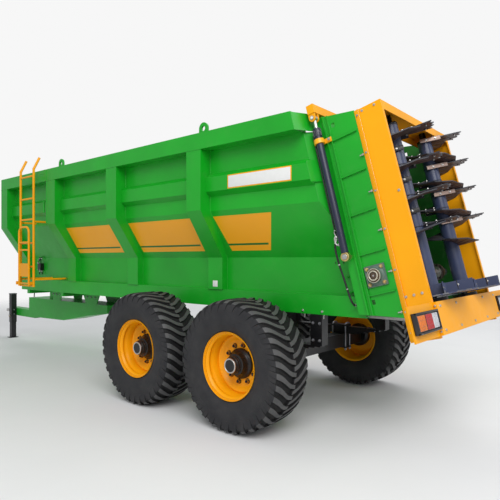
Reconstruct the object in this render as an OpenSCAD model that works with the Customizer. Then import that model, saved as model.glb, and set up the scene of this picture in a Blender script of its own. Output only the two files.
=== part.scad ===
// Towed manure spreader with a tandem axle, a V-shaped hopper, a guillotine
// door and two upright beaters. Millimetres, +X forward, +Y left, +Z up.
// Lengths along X are measured from the rear axle and shifted at the end.
// Everything behind the door leans forward at the top by the same angle and
// is set out along that lean: u forward across it, w up along it.

/* [Hopper] */
// Height of the top rail's upper face
rail_top_z = 2800; // [2780:5:2840]
// Height of the folded top rail
rail_h = 165; // [150:5:180]
// Half width over the posts and the top rail
post_y = 1030; // [1010:5:1040]
// Depth of the upper side sheet behind the posts
upper_recess = 140; // [125:5:150]
// Height of the knee where the side starts to slope in
knee_z = 2020; // [1990:5:2050]
// Height of the foot of the sloping side
slope_foot_z = 1545; // [1530:5:1570]
// Half width over the lower posts
low_post_y = 712; // [706:2:720]
// Depth of the lower side sheet behind the lower posts
lower_recess = 82; // [76:2:88]
// Thickness of the hopper sheet
sheet = 6; // [5:1:8]
// Depth by which the pressed band stands proud of the upper sheet
band_out = 60; // [45:5:70]
// Part of the upper side that lies below the pressed band
band_foot = 0.236; // [0.2:0.004:0.28]
// Part of the upper side that the pressed band takes with its two bends
band_part = 0.382; // [0.33:0.004:0.42]
// Position of the front wall
front_x = 5234; // [5200:10:5260]
// Position of the rear edge of the last post
post_x = 636; // [600:5:670]
// Distance from post to post
post_pitch = 1449; // [1440:5:1455]
// Width of a post
post_w = 210; // [180:5:220]

/* [Chassis] */
// Height of the underside of the chassis rails
chassis_z = 1030; // [1020:5:1040]
// Height of a chassis rail
chassis_h = 180; // [170:5:190]
// Half width over the chassis rails
chassis_y = 700; // [690:2:704]
// Thickness of the chassis rails
chassis_t = 10; // [8:1:12]
// Width of a chassis rail's flanges
flange_w = 70; // [60:5:80]
// Position of the rear end of the chassis rails
chassis_rear_x = -1010; // [-1020:5:-990]

/* [Wheels] */
// Distance from the rear axle to the front axle
wheelbase = 1331; // [1300:1:1360]
// Half of the track between the wheel centres
track_y = 1118; // [1110:2:1130]
// Outer radius of a tyre
tyre_r = 588; // [580:1:594]
// Width of a tyre
tyre_w = 480; // [460:10:490]
// Radius of the rim's flange
rim_r = 303; // [298:1:308]
// Width of the rim over its flanges
rim_w = 404; // [390:2:410]
// Radius of the circle of wheel studs
stud_circle_r = 167.5; // [160:0.5:170]
// Number of wheel studs
stud_count = 10; // [8:1:12]
// Side of the square axle beam
axle_side = 150; // [130:5:160]

/* [Rear frame] */
// Angle by which the rear frame and beaters lean forward
lean = 14.5; // [13:0.5:15]
// Position at ground level of the line where housing and rear frame meet
rear_x = -1656; // [-1680:2:-1640]
// Half width over the rear frame's side panels
frame_y = 780; // [776:1:784]
// Depth of the side panels along u
panel_u = 300; // [290:5:310]
// Depth of the door guides along u
guide_u = 80; // [74:2:90]
// Height of the underside of the side panels
panel_z = 1070; // [1060:5:1080]
// Top of the door guides along w
guide_top_w = 2955; // [2940:5:2965]
// Height of the rear frame's level top
frame_top_z = 2770; // [2760:5:2780]
// Number of ribs on a side panel
rib_count = 5; // [4:1:6]
// Depth of the beater housing along u
housing_u = 238; // [230:2:250]
// Top of the beater housing along w
housing_top_w = 2850; // [2830:5:2860]
// Foot of the beater housing along w
housing_foot_w = 910; // [890:5:915]
// Width of the housing's inner flanges
housing_flange = 35; // [25:1:38]
// Depth of the beam across the housing's top
housing_beam_h = 80; // [70:2:84]

/* [Beaters] */
// Distance of a beater's axis from the centre line
beater_y = 400; // [395:1:402]
// Radius of the beater blades' sweep
blade_r = 355; // [340:1:358]
// Radius of a beater's screw flight
flight_r = 255; // [235:5:280]
// Radius of the beater's tube
tube_r = 65; // [57:1:70]
// Pitch of the screw flight
flight_pitch = 278; // [270:2:290]
// Radius of the disc at the foot of a beater
disc_r = 350; // [330:1:355]
// Height of the paddles on that disc
paddle_h = 90; // [70:5:95]

/* [Door] */
// Travel of the door
door_travel = 950; // [900:10:1000]
// Thickness of the door panel
door_t = 20; // [16:1:22]
// Distance of the cylinders from the centre line
cylinder_y = 850; // [840:2:860]
// Radius of a cylinder's barrel
barrel_r = 32; // [28:1:36]
// Radius of a cylinder's rod
rod_r = 16; // [14:1:20]

/* [Floor conveyor] */
// Height of the conveyor shafts
shaft_z = 1396; // [1390:2:1402]
// Radius of the conveyor shafts
shaft_r = 30; // [25:1:35]
// Radius to the inner side of the chain on its sprockets
chain_r = 58; // [54:1:62]
// Thickness of the chain
chain_t = 26; // [22:1:30]
// Height of a floor slat above the chain
slat_h = 30; // [24:1:34]
// Distance from slat to slat
slat_pitch = 330; // [300:5:400]

/* [Drawbar] */
// Position of the hitch eye's centre
hitch_x = 7270; // [7200:10:7320]
// Height of the hitch eye's centre
hitch_z = 500; // [490:5:520]
// Radius of the hitch eye's bore
eye_bore_r = 25; // [20:0.5:30]
// Outer radius of the hitch eye
eye_r = 62; // [55:1:70]
// Half width of the drawbar's deep beam
drawbar_y = 200; // [180:5:210]
// Half width of the drawbar's nose
nose_y = 90; // [80:5:100]
// Position of the parking jack
jack_x = 6825; // [6780:5:6860]
// Side of the jack's outer tube
jack_side = 100; // [90:2:106]

/* [Ladder] */
// Position of the ladder's rear rail
ladder_x = 3956; // [3940:5:3990]
// Width between the ladder's rails
ladder_w = 400; // [380:5:410]
// Distance of the ladder from the centre line
ladder_y = 1120; // [1112:2:1130]
// Radius of the ladder's rails
ladder_r = 17; // [15:1:18]
// Height of the pivot of the folding step
step_pivot_z = 1180; // [1170:5:1200]

/* [Hidden] */
$fn = 64;
green = "#12a021";
dark_green = "#0b7a18";
orange = "#f7981d";
steel = "silver";
black = "#1c1c1f";
navy = "#2b2f45";
running_gap = 0.05;
// Reach of the cuts that go past everything
far = 4000;

// Faces of the hopper's sides
wall_y = post_y - upper_recess;
band_y = wall_y + band_out;
low_y = low_post_y - lower_recess;
rail_z = rail_top_z - rail_h;
band_z = knee_z + band_foot * (rail_z - knee_z);
band_h = band_part * (rail_z - knee_z);
chassis_top_z = chassis_z + chassis_h;
sill_z = chassis_top_z;
band_bend = 45;
end_upper_u = 450;
end_lower_u = panel_u + guide_u;
post_count = 4;

// Floor and conveyor
floor_t = 5;
floor_top_z = shaft_z + chain_r;
chain_y = low_y - sheet - 60;
slat_y = low_y - sheet - 12;
idler_x = front_x - 170;
shaft_u = 145;
chain_w = 26;

// Leaning frame
housing_y = frame_y + 3;
plate_t = 8;
beater_u = -housing_u / 2;
board_foot_w = housing_foot_w + 20;
board_h = 252;
board_t = 35;
drive_w = 1000;
drive_h = 150;
gear_h = 62;
gearbox_u = 60;
disc_w = drive_w + drive_h + gear_h + 10;
disc_t = 10;
tube_foot_w = disc_w + disc_t;
beater_top_w = housing_top_w - 87;
door_u = panel_u + guide_u / 2;
door_foot_z = floor_top_z + chain_t + slat_h + 14;
door_top_w = guide_top_w + 10;
beam_h = 80;
eye_low_w = 1686;
// Rod eyes, which hang in ears under the ends of the door's beam
rod_eye_w = door_top_w - 38;
rod_eye_r = 27;
pin_r = 12;
ear_half = 21;
beam_ear_t = 12;
rod_shown = 135;
barrel_top_w = door_top_w - rod_shown;
gland_h = 75;

// Reach of the machine, which sets the origin in the middle of its length
rear_end_x = rear_x + beater_u * cos(lean) + disc_w * sin(lean) - disc_r * cos(lean);
front_end_x = hitch_x + eye_r;
mid_x = (front_end_x + rear_end_x) / 2;

module place() translate([-mid_x, 0, 0]) children();

module block(x, y, z) translate([x[0], y[0], z[0]]) cube([x[1] - x[0], y[1] - y[0], z[1] - z[0]]);

// Children set out along the lean: u forward across it, w up along it
module leaning() translate([rear_x, 0, 0]) rotate([0, lean, 0]) children();

function lean_x(u, w) = rear_x + u * cos(lean) + w * sin(lean);
function lean_z(u, w) = w * cos(lean) - u * sin(lean);
// Height along w of a point at a given u and Z
function lean_w(u, z) = (z + u * sin(lean)) / cos(lean);

module both_sides() {
    children();
    mirror([0, 1, 0]) children();
}

// A [y, z] outline stretched along X
module along_x(x0, x1, outline) translate([x0, 0, 0]) rotate([90, 0, 90])
    linear_extrude(x1 - x0) polygon(outline);

// An [x, z] outline stretched along Y from y0 to y1
module along_y(y0, y1, outline) translate([0, y1, 0]) rotate([90, 0, 0])
    linear_extrude(y1 - y0) polygon(outline);

// Everything behind a leaning plane at u, to be cut away
module behind(u) leaning() translate([u - far, -far / 2, -far / 4]) cube([far, far, 1.5 * far]);

function reversed(list) = [for (i = [len(list) - 1:-1:0]) list[i]];
function moved(list, by) = [for (p = list) p + by];

// Outer face of a side sheet from the rail down to the sill, [y, z]
upper_line = [[wall_y, rail_z], [wall_y, band_z + band_h],
    [band_y, band_z + band_h - band_bend], [band_y, band_z + band_bend],
    [wall_y, band_z], [wall_y, knee_z]];
lower_line = [[wall_y, knee_z], [low_y, slope_foot_z], [low_y, sill_z]];
post_line = [[post_y, rail_z], [post_y, knee_z], [low_post_y, slope_foot_z],
    [low_post_y, sill_z]];

// Distance by which the sloping sheet reaches past a wing's outer face
wing_trim = 2;

// Everything outside the wings that close the hopper's rear corners
module outside_wings() leaning() linear_extrude(guide_top_w)
    polygon([[end_lower_u - 1, frame_y + wing_trim], [end_lower_u, frame_y + wing_trim],
        [end_upper_u, wall_y + wing_trim], [end_upper_u, 2 * post_y], [end_lower_u - 1, 2 * post_y]]);

module side_sheet() {
    difference() {
        along_x(rear_x, front_x - sheet, concat(upper_line, reversed(moved(upper_line, [-sheet, 0]))));
        behind(end_upper_u);
    }
    difference() {
        along_x(rear_x, front_x - sheet, concat(lower_line, reversed(moved(lower_line, [-sheet, 0]))));
        behind(end_lower_u);
        outside_wings();
    }
}

module hopper_left() color(green) place() side_sheet();
module hopper_right() color(green) place() mirror([0, 1, 0]) side_sheet();

// Depth of the beam over the front wall, and place of the outer uprights
front_beam_d = 120;
front_rib_y = 450;

module hopper_front() color(green) place() {
    half = [[wall_y, rail_z], [wall_y, knee_z], [low_y, slope_foot_z], [low_y, sill_z]];
    along_x(front_x - sheet, front_x, concat(half, [for (p = reversed(half)) [-p[0], p[1]]]));
    block([front_x - front_beam_d, front_x], [-rail_in_y, rail_in_y], [rail_z, rail_top_z]);
    for (y = [-front_rib_y, 0, front_rib_y])
        block([front_x, front_x + 60], [y - 40, y + 40], [slope_foot_z, rail_z]);
}

module hopper_floor() color(green) place() difference() {
    block([rear_x, front_x - sheet], [-low_y + sheet, low_y - sheet], [floor_top_z - floor_t, floor_top_z]);
    behind(shaft_u + 130);
    ends = idler_x;
    block([ends - chain_r, front_x], [-low_y, low_y], [floor_top_z - 20, floor_top_z + 20]);
}

// Uprights that follow the side from the rail down to the sill
module side_posts() for (i = [0:post_count - 1]) {
    x = i == post_count - 1 ? front_x - post_w : post_x + i * post_pitch;
    sheet_line = concat(upper_line, [for (k = [1, 2]) lower_line[k]]);
    along_x(x, x + post_w, concat(post_line, reversed(sheet_line)));
}

module posts_left() color(green) place() side_posts();
module posts_right() color(green) place() mirror([0, 1, 0]) side_posts();

rail_in_y = wall_y - 45;
ear_r = 62;
ear_t = 20;

module lifting_ear() difference() {
    union() {
        cylinder(h = ear_t, r = ear_r);
        translate([-ear_r, -70, 0]) cube([2 * ear_r, 70, ear_t]);
    }
    translate([0, 0, -1]) cylinder(h = ear_t + 2, r = 26);
    translate([-2 * ear_r, -140 - 65, -1]) cube([4 * ear_r, 140, ear_t + 2]);
}

module top_rail() {
    difference() {
        block([rear_x, front_x], [rail_in_y, post_y], [rail_z, rail_top_z]);
        behind(end_upper_u);
    }
    for (x = [post_x + 45, post_x + 2 * post_pitch - 20])
        translate([x, (rail_in_y + post_y) / 2 + ear_t / 2, rail_top_z + 65])
            rotate([90, 0, 0]) lifting_ear();
}

module top_rail_left() color(green) place() top_rail();
module top_rail_right() color(green) place() mirror([0, 1, 0]) top_rail();

module chassis_rails() color(green) place() both_sides() {
    channel = [[chassis_y, chassis_z], [chassis_y, chassis_top_z],
        [chassis_y - flange_w, chassis_top_z], [chassis_y - flange_w, chassis_top_z - chassis_t],
        [chassis_y - chassis_t, chassis_top_z - chassis_t], [chassis_y - chassis_t, chassis_z + chassis_t],
        [chassis_y - flange_w, chassis_z + chassis_t], [chassis_y - flange_w, chassis_z]];
    along_x(chassis_rear_x, front_x, channel);
}

// Beams between the chassis rails: position of each one's middle
member_x = [chassis_rear_x + 60, -300, wheelbase / 2, wheelbase + 560, 2900, 4000, front_x - 60];
member_w = 80;

module cross_members() color(dark_green) place() for (x = member_x)
    block([x - member_w / 2, x + member_w / 2],
        [-chassis_y + chassis_t, chassis_y - chassis_t],
        [chassis_z + chassis_t, chassis_top_z - chassis_t]);

wing_t = 12;
// Height of a wing's foot over the line where its outer face meets the slope
wing_lap = (sheet + wing_trim) * (knee_z - slope_foot_z) / (wall_y - low_y) + 0.5;
// Heights between which a wing starts from each face of the side: [from, to, y]
wing_parts = [[knee_z, band_z + band_bend / 2, wall_y],
    [band_z + band_bend / 2, band_z + band_h - band_bend / 2, band_y],
    [band_z + band_h - band_bend / 2, rail_z, wall_y],
    [rail_z, rail_top_z - 5, post_y - 2]];
// Height at which the sloping side has come in to the rear frame
wing_foot_z = knee_z - (wall_y - frame_y) * (knee_z - slope_foot_z) / (wall_y - low_y);

// Heights of the gussets between the lower side and a door guide
gusset_z = [1258, 1389];

// Plates that lead the wide hopper in to the rear frame, down to where the slope has come in to it
module rear_wings() color(dark_green) place() both_sides() leaning() {
    for (p = wing_parts)
        translate([0, 0, lean_w(end_upper_u, p[0])])
            linear_extrude(lean_w(end_upper_u, p[1]) - lean_w(end_upper_u, p[0]))
                polygon([[end_upper_u, p[2]], [end_upper_u, p[2] - wing_t],
                    [end_lower_u, frame_y - wing_t], [end_lower_u, frame_y]]);
    for (z = gusset_z) translate([0, 0, lean_w(end_lower_u, z)]) linear_extrude(8)
        polygon([[end_lower_u, low_y], [end_lower_u, frame_y], [end_lower_u + 120, low_y]]);
    reach = [end_upper_u - end_lower_u, wall_y - frame_y];
    knee_w = lean_w(end_upper_u, knee_z);
    foot_w = lean_w(end_lower_u, wing_foot_z);
    intersection() {
        translate([end_lower_u, frame_y, 0]) rotate([90, 0, atan2(reach[1], reach[0])])
            linear_extrude(wing_t) polygon([[0, foot_w + wing_lap], [norm(reach), knee_w + wing_lap],
                [norm(reach), knee_w + 2 * wing_lap], [0, knee_w + 2 * wing_lap]]);
        block([end_lower_u, end_upper_u], [0, post_y], [0, guide_top_w]);
    }
}

module guide_section() difference() {
    translate([panel_u, chassis_y]) square([guide_u, frame_y - chassis_y]);
    translate([door_u - door_t / 2 - 8, 0]) square([door_t + 16, chassis_y + 52]);
}

bearing_side = 176;
bearing_w = lean_w(shaft_u, shaft_z);
rib_pitch = 339;
rib_t = 8;
rib_out = 20;
// The lowest rib lies under the bearing's flange, the next above it
rib_gap = 56;
rib_low_w = bearing_w - bearing_side / 2 - rib_gap - rib_t;
// Ridges on the side panel beside the door guide: [rear edge along u, width]
ridges = [[panel_u - 56, 12], [panel_u - 16, 16]];
ridge_out = 15;
// Slots near the top and foot of a side panel: [rear edge along u, foot along w]
slots = [[200, 2806], [210, 1256]];

module rear_frame() color(green) place() {
    difference() {
        both_sides() {
            leaning() linear_extrude(guide_top_w) guide_section();
            leaning() difference() {
                block([0, panel_u], [frame_y - plate_t, frame_y], [0, guide_top_w]);
                translate([shaft_u, 0, bearing_w]) rotate([-90, 0, 0])
                    cylinder(h = far, r = shaft_r + 12);
                for (s = slots) block([s[0], s[0] + 30], [0, far], [s[1], s[1] + 38]);
            }
            leaning() for (r = ridges)
                block([r[0], r[0] + r[1]], [frame_y, frame_y + ridge_out], [0, guide_top_w]);
            leaning() for (i = [0:rib_count - 1])
                block([15, ridges[0][0]], [frame_y, frame_y + rib_out],
                    [rib_low_w + i * rib_pitch, rib_low_w + i * rib_pitch + rib_t]);
        }
        block([-far, 0], [-far, far], [-far, panel_z]);
        block([-far, 0], [-far, far], [frame_top_z, far]);
    }
}

// Side plates of the beater housing with the beam across their top
module beater_housing() color(orange) place() leaning() {
    both_sides() {
        block([-housing_u, 0], [housing_y - plate_t, housing_y], [housing_foot_w, housing_top_w]);
        for (u = [-housing_u, -plate_t])
            block([u, u + plate_t], [housing_y - housing_flange, housing_y], [housing_foot_w, housing_top_w]);
    }
    block([-housing_u, 0], [-housing_y, housing_y], [housing_top_w - plate_t, housing_top_w]);
    block([-housing_u, -housing_u + plate_t], [-housing_y, housing_y],
        [housing_top_w - housing_beam_h, housing_top_w]);
    block([-plate_t, 0], [-housing_y, housing_y], [housing_top_w - housing_beam_h, housing_top_w]);
}

board_y = 1270;

// Half width of the board's deep middle, beyond which it is a thin plate for the lamp
board_mid_y = 800;
lamp_plate_t = 10;

module lamp_board() color(orange) place() leaning() {
    block([-housing_u - board_t, -housing_u], [-board_mid_y, board_mid_y],
        [board_foot_w, board_foot_w + board_h]);
    block([-housing_u - lamp_plate_t, -housing_u], [-board_y, board_y], [board_foot_w, board_foot_w + board_h]);
}

lamp_w = 420;
lamp_h = 150;
lamp_t = 40;
lamp_frame = 14;
// Lenses of a lamp from the outside in: [share of the width at which each ends, height of its face]
lenses = [[0.36, 12], [0.7, 12], [1, 7]];

// Lamps, each with three lenses in a raised frame
module rear_lamps() color("crimson") place() leaning() both_sides() {
    outer_y = board_y - 20;
    foot_w = board_foot_w + 50;
    seat_u = -housing_u - lamp_plate_t;
    difference() {
        block([seat_u - lamp_t, seat_u], [outer_y - lamp_w, outer_y], [foot_w, foot_w + lamp_h]);
        block([seat_u - lamp_t - 1, seat_u - lamp_t + lamp_frame],
            [outer_y - lamp_w + lamp_frame, outer_y - lamp_frame],
            [foot_w + lamp_frame, foot_w + lamp_h - lamp_frame]);
    }
    inner_w = lamp_w - 2 * lamp_frame;
    for (i = [0:len(lenses) - 1]) {
        from = i == 0 ? 0 : lenses[i - 1][0];
        block([seat_u - lamp_t + lamp_frame - lenses[i][1], seat_u - lamp_t + lamp_frame + 1],
            [outer_y - lamp_frame - lenses[i][0] * inner_w + 3, outer_y - lamp_frame - from * inner_w - 3],
            [foot_w + lamp_frame + 5, foot_w + lamp_h - lamp_frame - 5]);
    }
}

// Beam under the beaters with a gearbox at the foot of each
module beater_drive() color(black) place() leaning() {
    block([beater_u - 80, beater_u + 80], [-housing_y + plate_t, housing_y - plate_t],
        [drive_w, drive_w + drive_h]);
    block([beater_u + 79, gearbox_u], [-90, 90], [drive_w - 40, drive_w + 110]);
    both_sides() translate([beater_u, beater_y, drive_w + drive_h]) {
        cylinder(h = gear_h, r = 110);
        cylinder(h = tube_foot_w - drive_w - drive_h + 60, r = pivot_r);
    }
    both_sides() translate([beater_u, beater_y, beater_top_w - 60])
        cylinder(h = housing_top_w - plate_t - beater_top_w + 60, r = pivot_r);
}

// Endless floor chains with their slats, as one loop
module floor_chain() color(black) place() {
    rear = lean_x(shaft_u, bearing_w);
    run = idler_x - rear;
    slats = floor(run / slat_pitch);
    both_sides() translate([0, chain_y + chain_w / 2, 0]) rotate([90, 0, 0]) linear_extrude(chain_w)
        difference() {
            loop_outline(rear, run, chain_r + chain_t);
            loop_outline(rear, run, chain_r);
        }
    for (i = [0:slats - 1]) {
        x = rear + slat_pitch * (i + 0.5);
        block([x, x + 50], [-slat_y, slat_y], [floor_top_z + chain_t - 1, floor_top_z + chain_t + slat_h]);
        block([x, x + 50], [-slat_y, slat_y],
            [shaft_z - chain_r - chain_t - slat_h, shaft_z - chain_r - chain_t + 1]);
    }
}

module loop_outline(x, run, r) {
    translate([x, shaft_z]) circle(r = r);
    translate([x + run, shaft_z]) circle(r = r);
    translate([x, shaft_z - r]) square([run, 2 * r]);
}

module shaft_with_sprockets(half) {
    rotate([90, 0, 0]) cylinder(h = 2 * half, r = shaft_r, center = true);
    both_sides() translate([0, chain_y, 0]) rotate([90, 0, 0])
        cylinder(h = chain_w, r = chain_r - 0.3, center = true);
}

module chain_shafts() color(steel) place() {
    translate([lean_x(shaft_u, bearing_w), 0, shaft_z]) shaft_with_sprockets(frame_y + 60);
    translate([idler_x, 0, shaft_z]) shaft_with_sprockets(low_y - sheet - 1);
}

module shaft_bearings() color("#6f7d74") place() both_sides() leaning()
    translate([shaft_u, frame_y, bearing_w]) rotate([-90, 0, 0]) difference() {
        union() {
            translate([-bearing_side / 2, -bearing_side / 2, 0]) cube([bearing_side, bearing_side, 18]);
            cylinder(h = 55, r = 62);
        }
        translate([0, 0, -1]) cylinder(h = 60, r = shaft_r + running_gap);
    }

hub_in = 120;

module axle() {
    half = track_y - hub_in;
    translate([-axle_side / 2, -half, tyre_r - axle_side / 2]) cube([axle_side, 2 * half, axle_side]);
    both_sides() translate([0, half - 1, tyre_r]) rotate([-90, 0, 0]) cylinder(h = hub_in + 61, r = 38);
}

module axle_front() color(black) place() translate([wheelbase, 0, 0]) axle();
module axle_rear() color(black) place() axle();

spring_y = 655;
spring_w = 80;
leaf_t = 12;
leaf_count = 7;
spring_reach = 560;
spring_gap = 4;

// A pack of leaves, each one shorter than the one above it
module leaf_springs() color(black) place() both_sides() for (x = [0, wheelbase])
    for (i = [0:leaf_count - 1]) {
        reach = spring_reach * (1 - i * 0.11);
        block([x - reach, x + reach], [spring_y - spring_w / 2, spring_y + spring_w / 2],
            [spring_z + (leaf_count - 1 - i) * leaf_t, spring_z + (leaf_count - i) * leaf_t]);
    }

spring_z = tyre_r + axle_side / 2;

module spring_hangers() color(black) place() both_sides() {
    top = spring_z + leaf_count * leaf_t;
    for (x = [-spring_reach + 40, wheelbase / 2, wheelbase + spring_reach - 40])
        block([x - 60, x + 60], [spring_y - 55, spring_y + 45], [top, chassis_z]);
}

// Side outline of the drawbar's deep beam, [x, z]
beam_end_x = 6030;
drawbar_top_z = 825;
eye_shank = 180;
nose_half_h = 70;
pto_half = 50;
drive_z = 980;
drive_r = 35;
pto_bearing_x = 5450;
stub_r = 17.5;
stub_x = 5700;
drawbar_line = [[3520, drawbar_top_z], [beam_end_x, drawbar_top_z], [beam_end_x, 474],
    [4800, 500], [4070, 630], [3520, 700]];

// Hangers that join the drawbar to the chassis: [middle, half length below, half length above]
hangers = [[3960, 150, 265], [5020, 125, 175]];
hanger_t = 12;

module drawbar() color(green) place() {
    along_y(-drawbar_y, drawbar_y, drawbar_line);
        block([beam_end_x - 1, hitch_x - eye_shank], [-nose_y, nose_y],
            [hitch_z - nose_half_h, hitch_z + nose_half_h]);
    both_sides() for (h = hangers) {
        along_y(drawbar_y - hanger_t, drawbar_y, [[h[0] - h[1], drawbar_top_z - 5], [h[0] + h[1], drawbar_top_z - 5],
            [h[0] + h[2], chassis_z], [h[0] - h[2], chassis_z]]);
        block([h[0] - 40, h[0] + 40], [drawbar_y, chassis_y - chassis_t], [chassis_z - 60, chassis_z]);
    }
    difference() {
        block([pto_bearing_x - pto_half, pto_bearing_x + pto_half], [-75, 75], [drawbar_top_z - 1, drive_z + 75]);
        translate([pto_bearing_x - pto_half - 10, 0, drive_z]) rotate([0, 90, 0])
            cylinder(h = 2 * pto_half + 20, r = drive_r + running_gap);
    }
}

module hitch_eye() color(steel) place() difference() {
    union() {
        translate([hitch_x, 0, hitch_z - 25]) cylinder(h = 50, r = eye_r);
        block([hitch_x - eye_shank, hitch_x - 40], [-45, 45], [hitch_z - 25, hitch_z + 25]);
        block([hitch_x - eye_shank, hitch_x - eye_shank + 20], [-80, 80], [hitch_z - 65, hitch_z + 65]);
    }
    translate([hitch_x, 0, hitch_z - 30]) cylinder(h = 60, r = eye_bore_r);
}

jack_y = nose_y + jack_side / 2;
jack_wall = 6;
jack_foot_z = 300;
jack_top_z = 860;

module jack_tube() color(black) place() {
    difference() {
        block([jack_x - jack_side / 2, jack_x + jack_side / 2],
            [jack_y - jack_side / 2, jack_y + jack_side / 2], [jack_foot_z, jack_top_z]);
        block([jack_x - jack_side / 2 + jack_wall, jack_x + jack_side / 2 - jack_wall],
            [jack_y - jack_side / 2 + jack_wall, jack_y + jack_side / 2 - jack_wall],
            [jack_foot_z - 1, jack_top_z - jack_wall]);
    }
}

module jack_leg() color(black) place() {
    inner = jack_side / 2 - jack_wall - 0.3;
    block([jack_x - inner, jack_x + inner], [jack_y - inner, jack_y + inner], [8, jack_foot_z + 150]);
    block([jack_x - 75, jack_x + 75], [jack_y - 75, jack_y + 75], [0, 9]);
}

ladder_foot_z = 1130;
ladder_bend_z = 2815;
rung_z = [1420, 1760, 2100, 2400, 2720];
upper_stay_z = 2065;
lower_stay_z = 1235;
stay_r = 14;
rung_r = 13;

grab_angle = 26;
grab_tail = 190;

// Ladder rail, bent in over the hopper's edge at a welded knuckle
module ladder_rail() {
    translate([0, 0, ladder_foot_z]) cylinder(h = ladder_bend_z - ladder_foot_z, r = ladder_r);
    translate([0, 0, ladder_bend_z]) {
        sphere(r = ladder_r + 1.5);
        rotate([grab_angle, 0, 0]) cylinder(h = grab_tail, r = ladder_r);
    }
}

// Lug in which the folding step pivots
module step_lug(x) difference() {
    block([x - 5, x + 5], [ladder_y, step_y + 24], [step_pivot_z - 24, step_pivot_z + 24]);
    translate([x - 10, step_y, step_pivot_z]) rotate([0, 90, 0]) cylinder(h = 20, r = step_pin_r + running_gap);
}

module ladder() color(orange) place() {
    for (x = [ladder_x, ladder_x + ladder_w]) step_lug(x);
    for (x = [ladder_x, ladder_x + ladder_w]) {
        translate([x, ladder_y, 0]) ladder_rail();
        translate([x, wall_y, upper_stay_z]) rotate([-90, 0, 0]) cylinder(h = ladder_y - wall_y, r = stay_r);
        translate([x, low_y, lower_stay_z]) rotate([-90, 0, 0]) cylinder(h = ladder_y - low_y, r = stay_r);
    }
    for (z = rung_z)
        translate([ladder_x, ladder_y, z]) rotate([0, 90, 0]) cylinder(h = ladder_w, r = rung_r);
    translate([ladder_x, ladder_y, ladder_foot_z + rung_r + 1]) rotate([0, 90, 0])
        cylinder(h = ladder_w, r = rung_r);
}

// The hinged lower step, folded up against the ladder
step_y = ladder_y + 2 * ladder_r + 12;
step_w = 300;
step_top_z = 1990;
step_r = 15;
step_pin_r = 10;
step_rung_z = [1660, 1770];
tread_z = [1275, 1466];

module ladder_step() color(orange) place() {
    x0 = ladder_x + (ladder_w - step_w) / 2;
    bend = 90;
    for (x = [x0, x0 + step_w])
        translate([x, step_y, step_pivot_z - 40]) cylinder(h = step_top_z - bend - step_pivot_z + 40, r = step_r);
    for (side = [0, 1])
        translate([x0 + (side ? step_w - bend : bend), step_y, step_top_z - bend])
            rotate([90, 0, 0]) rotate([0, 0, side ? 0 : 90])
                rotate_extrude(angle = 90) translate([bend, 0]) circle(r = step_r, $fn = 32);
    translate([x0 + bend, step_y, step_top_z]) rotate([0, 90, 0]) cylinder(h = step_w - 2 * bend, r = step_r);
    for (z = step_rung_z) translate([x0, step_y, z]) rotate([0, 90, 0]) cylinder(h = step_w, r = 12);
    block([x0, x0 + step_w], [step_y - 3, step_y + 3], tread_z);
    translate([ladder_x - 20, step_y, step_pivot_z]) rotate([0, 90, 0])
        cylinder(h = ladder_w + 40, r = step_pin_r);
}

saddle_w = 2690;
// Foot of the pipe beside a barrel, just above the end of its hose
pipe_foot_w = 1861;
saddle_u = 128;
saddle_rear = 93;

module door_cylinders() color(navy) place() leaning() both_sides()
    translate([door_u, cylinder_y, 0]) {
        difference() {
            union() {
                translate([0, 0, eye_low_w + 30]) cylinder(h = barrel_top_w - eye_low_w - 30, r = barrel_r);
                translate([0, 0, barrel_top_w - gland_h]) cylinder(h = gland_h - 6, r = barrel_r + 5);
            }
            translate([0, 0, eye_low_w + 120]) cylinder(h = barrel_top_w, r = rod_r + running_gap);
        }
        // Pipe along the barrel to its upper end
        translate([barrel_r + 13, 0, pipe_foot_w]) cylinder(h = barrel_top_w - 50 - pipe_foot_w, r = 7);
        for (w = [pipe_foot_w + 20, barrel_top_w - 60])
            translate([barrel_r - 4, 0, w]) rotate([0, 90, 0]) cylinder(h = 20, r = 9);
        // Saddle that holds the barrel to the guide
        translate([-saddle_rear, frame_y - cylinder_y + ridge_out, saddle_w]) cube([saddle_u, 14, 40]);
        difference() {
            translate([0, 0, saddle_w]) cylinder(h = 40, r = barrel_r + 12);
            translate([0, 0, saddle_w - 1]) cylinder(h = 42, r = barrel_r - 2);
        }
        for (u = [14 - saddle_rear, saddle_u - saddle_rear - 13])
            translate([u, frame_y - cylinder_y + ridge_out, saddle_w + 20]) rotate([-90, 0, 0])
                cylinder(h = 30, r = 11);
        translate([0, 0, eye_low_w]) rotate([90, 0, 0]) cylinder(h = 40, r = 38, center = true);
        translate([0, frame_y - cylinder_y, eye_low_w]) rotate([-90, 0, 0])
            cylinder(h = cylinder_y - frame_y, r = 18);
    }

module door_panel() color(green) place() leaning() {
    foot = lean_w(door_u + door_t / 2, door_foot_z);
    block([door_u - door_t / 2, door_u + door_t / 2], [-chassis_y - 45, chassis_y + 45], [foot, door_top_w + 1]);
    color(orange) {
        block([door_u - 36, door_u + 32], [-cylinder_y - 40, cylinder_y + 40], [door_top_w, door_top_w + beam_h]);
        both_sides() for (y = [-ear_half - beam_ear_t, ear_half]) difference() {
            union() {
                block([door_u - 32, door_u + 32], [cylinder_y + y, cylinder_y + y + beam_ear_t],
                    [rod_eye_w, door_top_w + 1]);
                translate([door_u, cylinder_y + y, rod_eye_w]) rotate([-90, 0, 0])
                    cylinder(h = beam_ear_t, r = 32);
            }
            translate([door_u, cylinder_y + y - 1, rod_eye_w]) rotate([-90, 0, 0])
                cylinder(h = beam_ear_t + 2, r = pin_r + running_gap);
        }
    }
}

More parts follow.
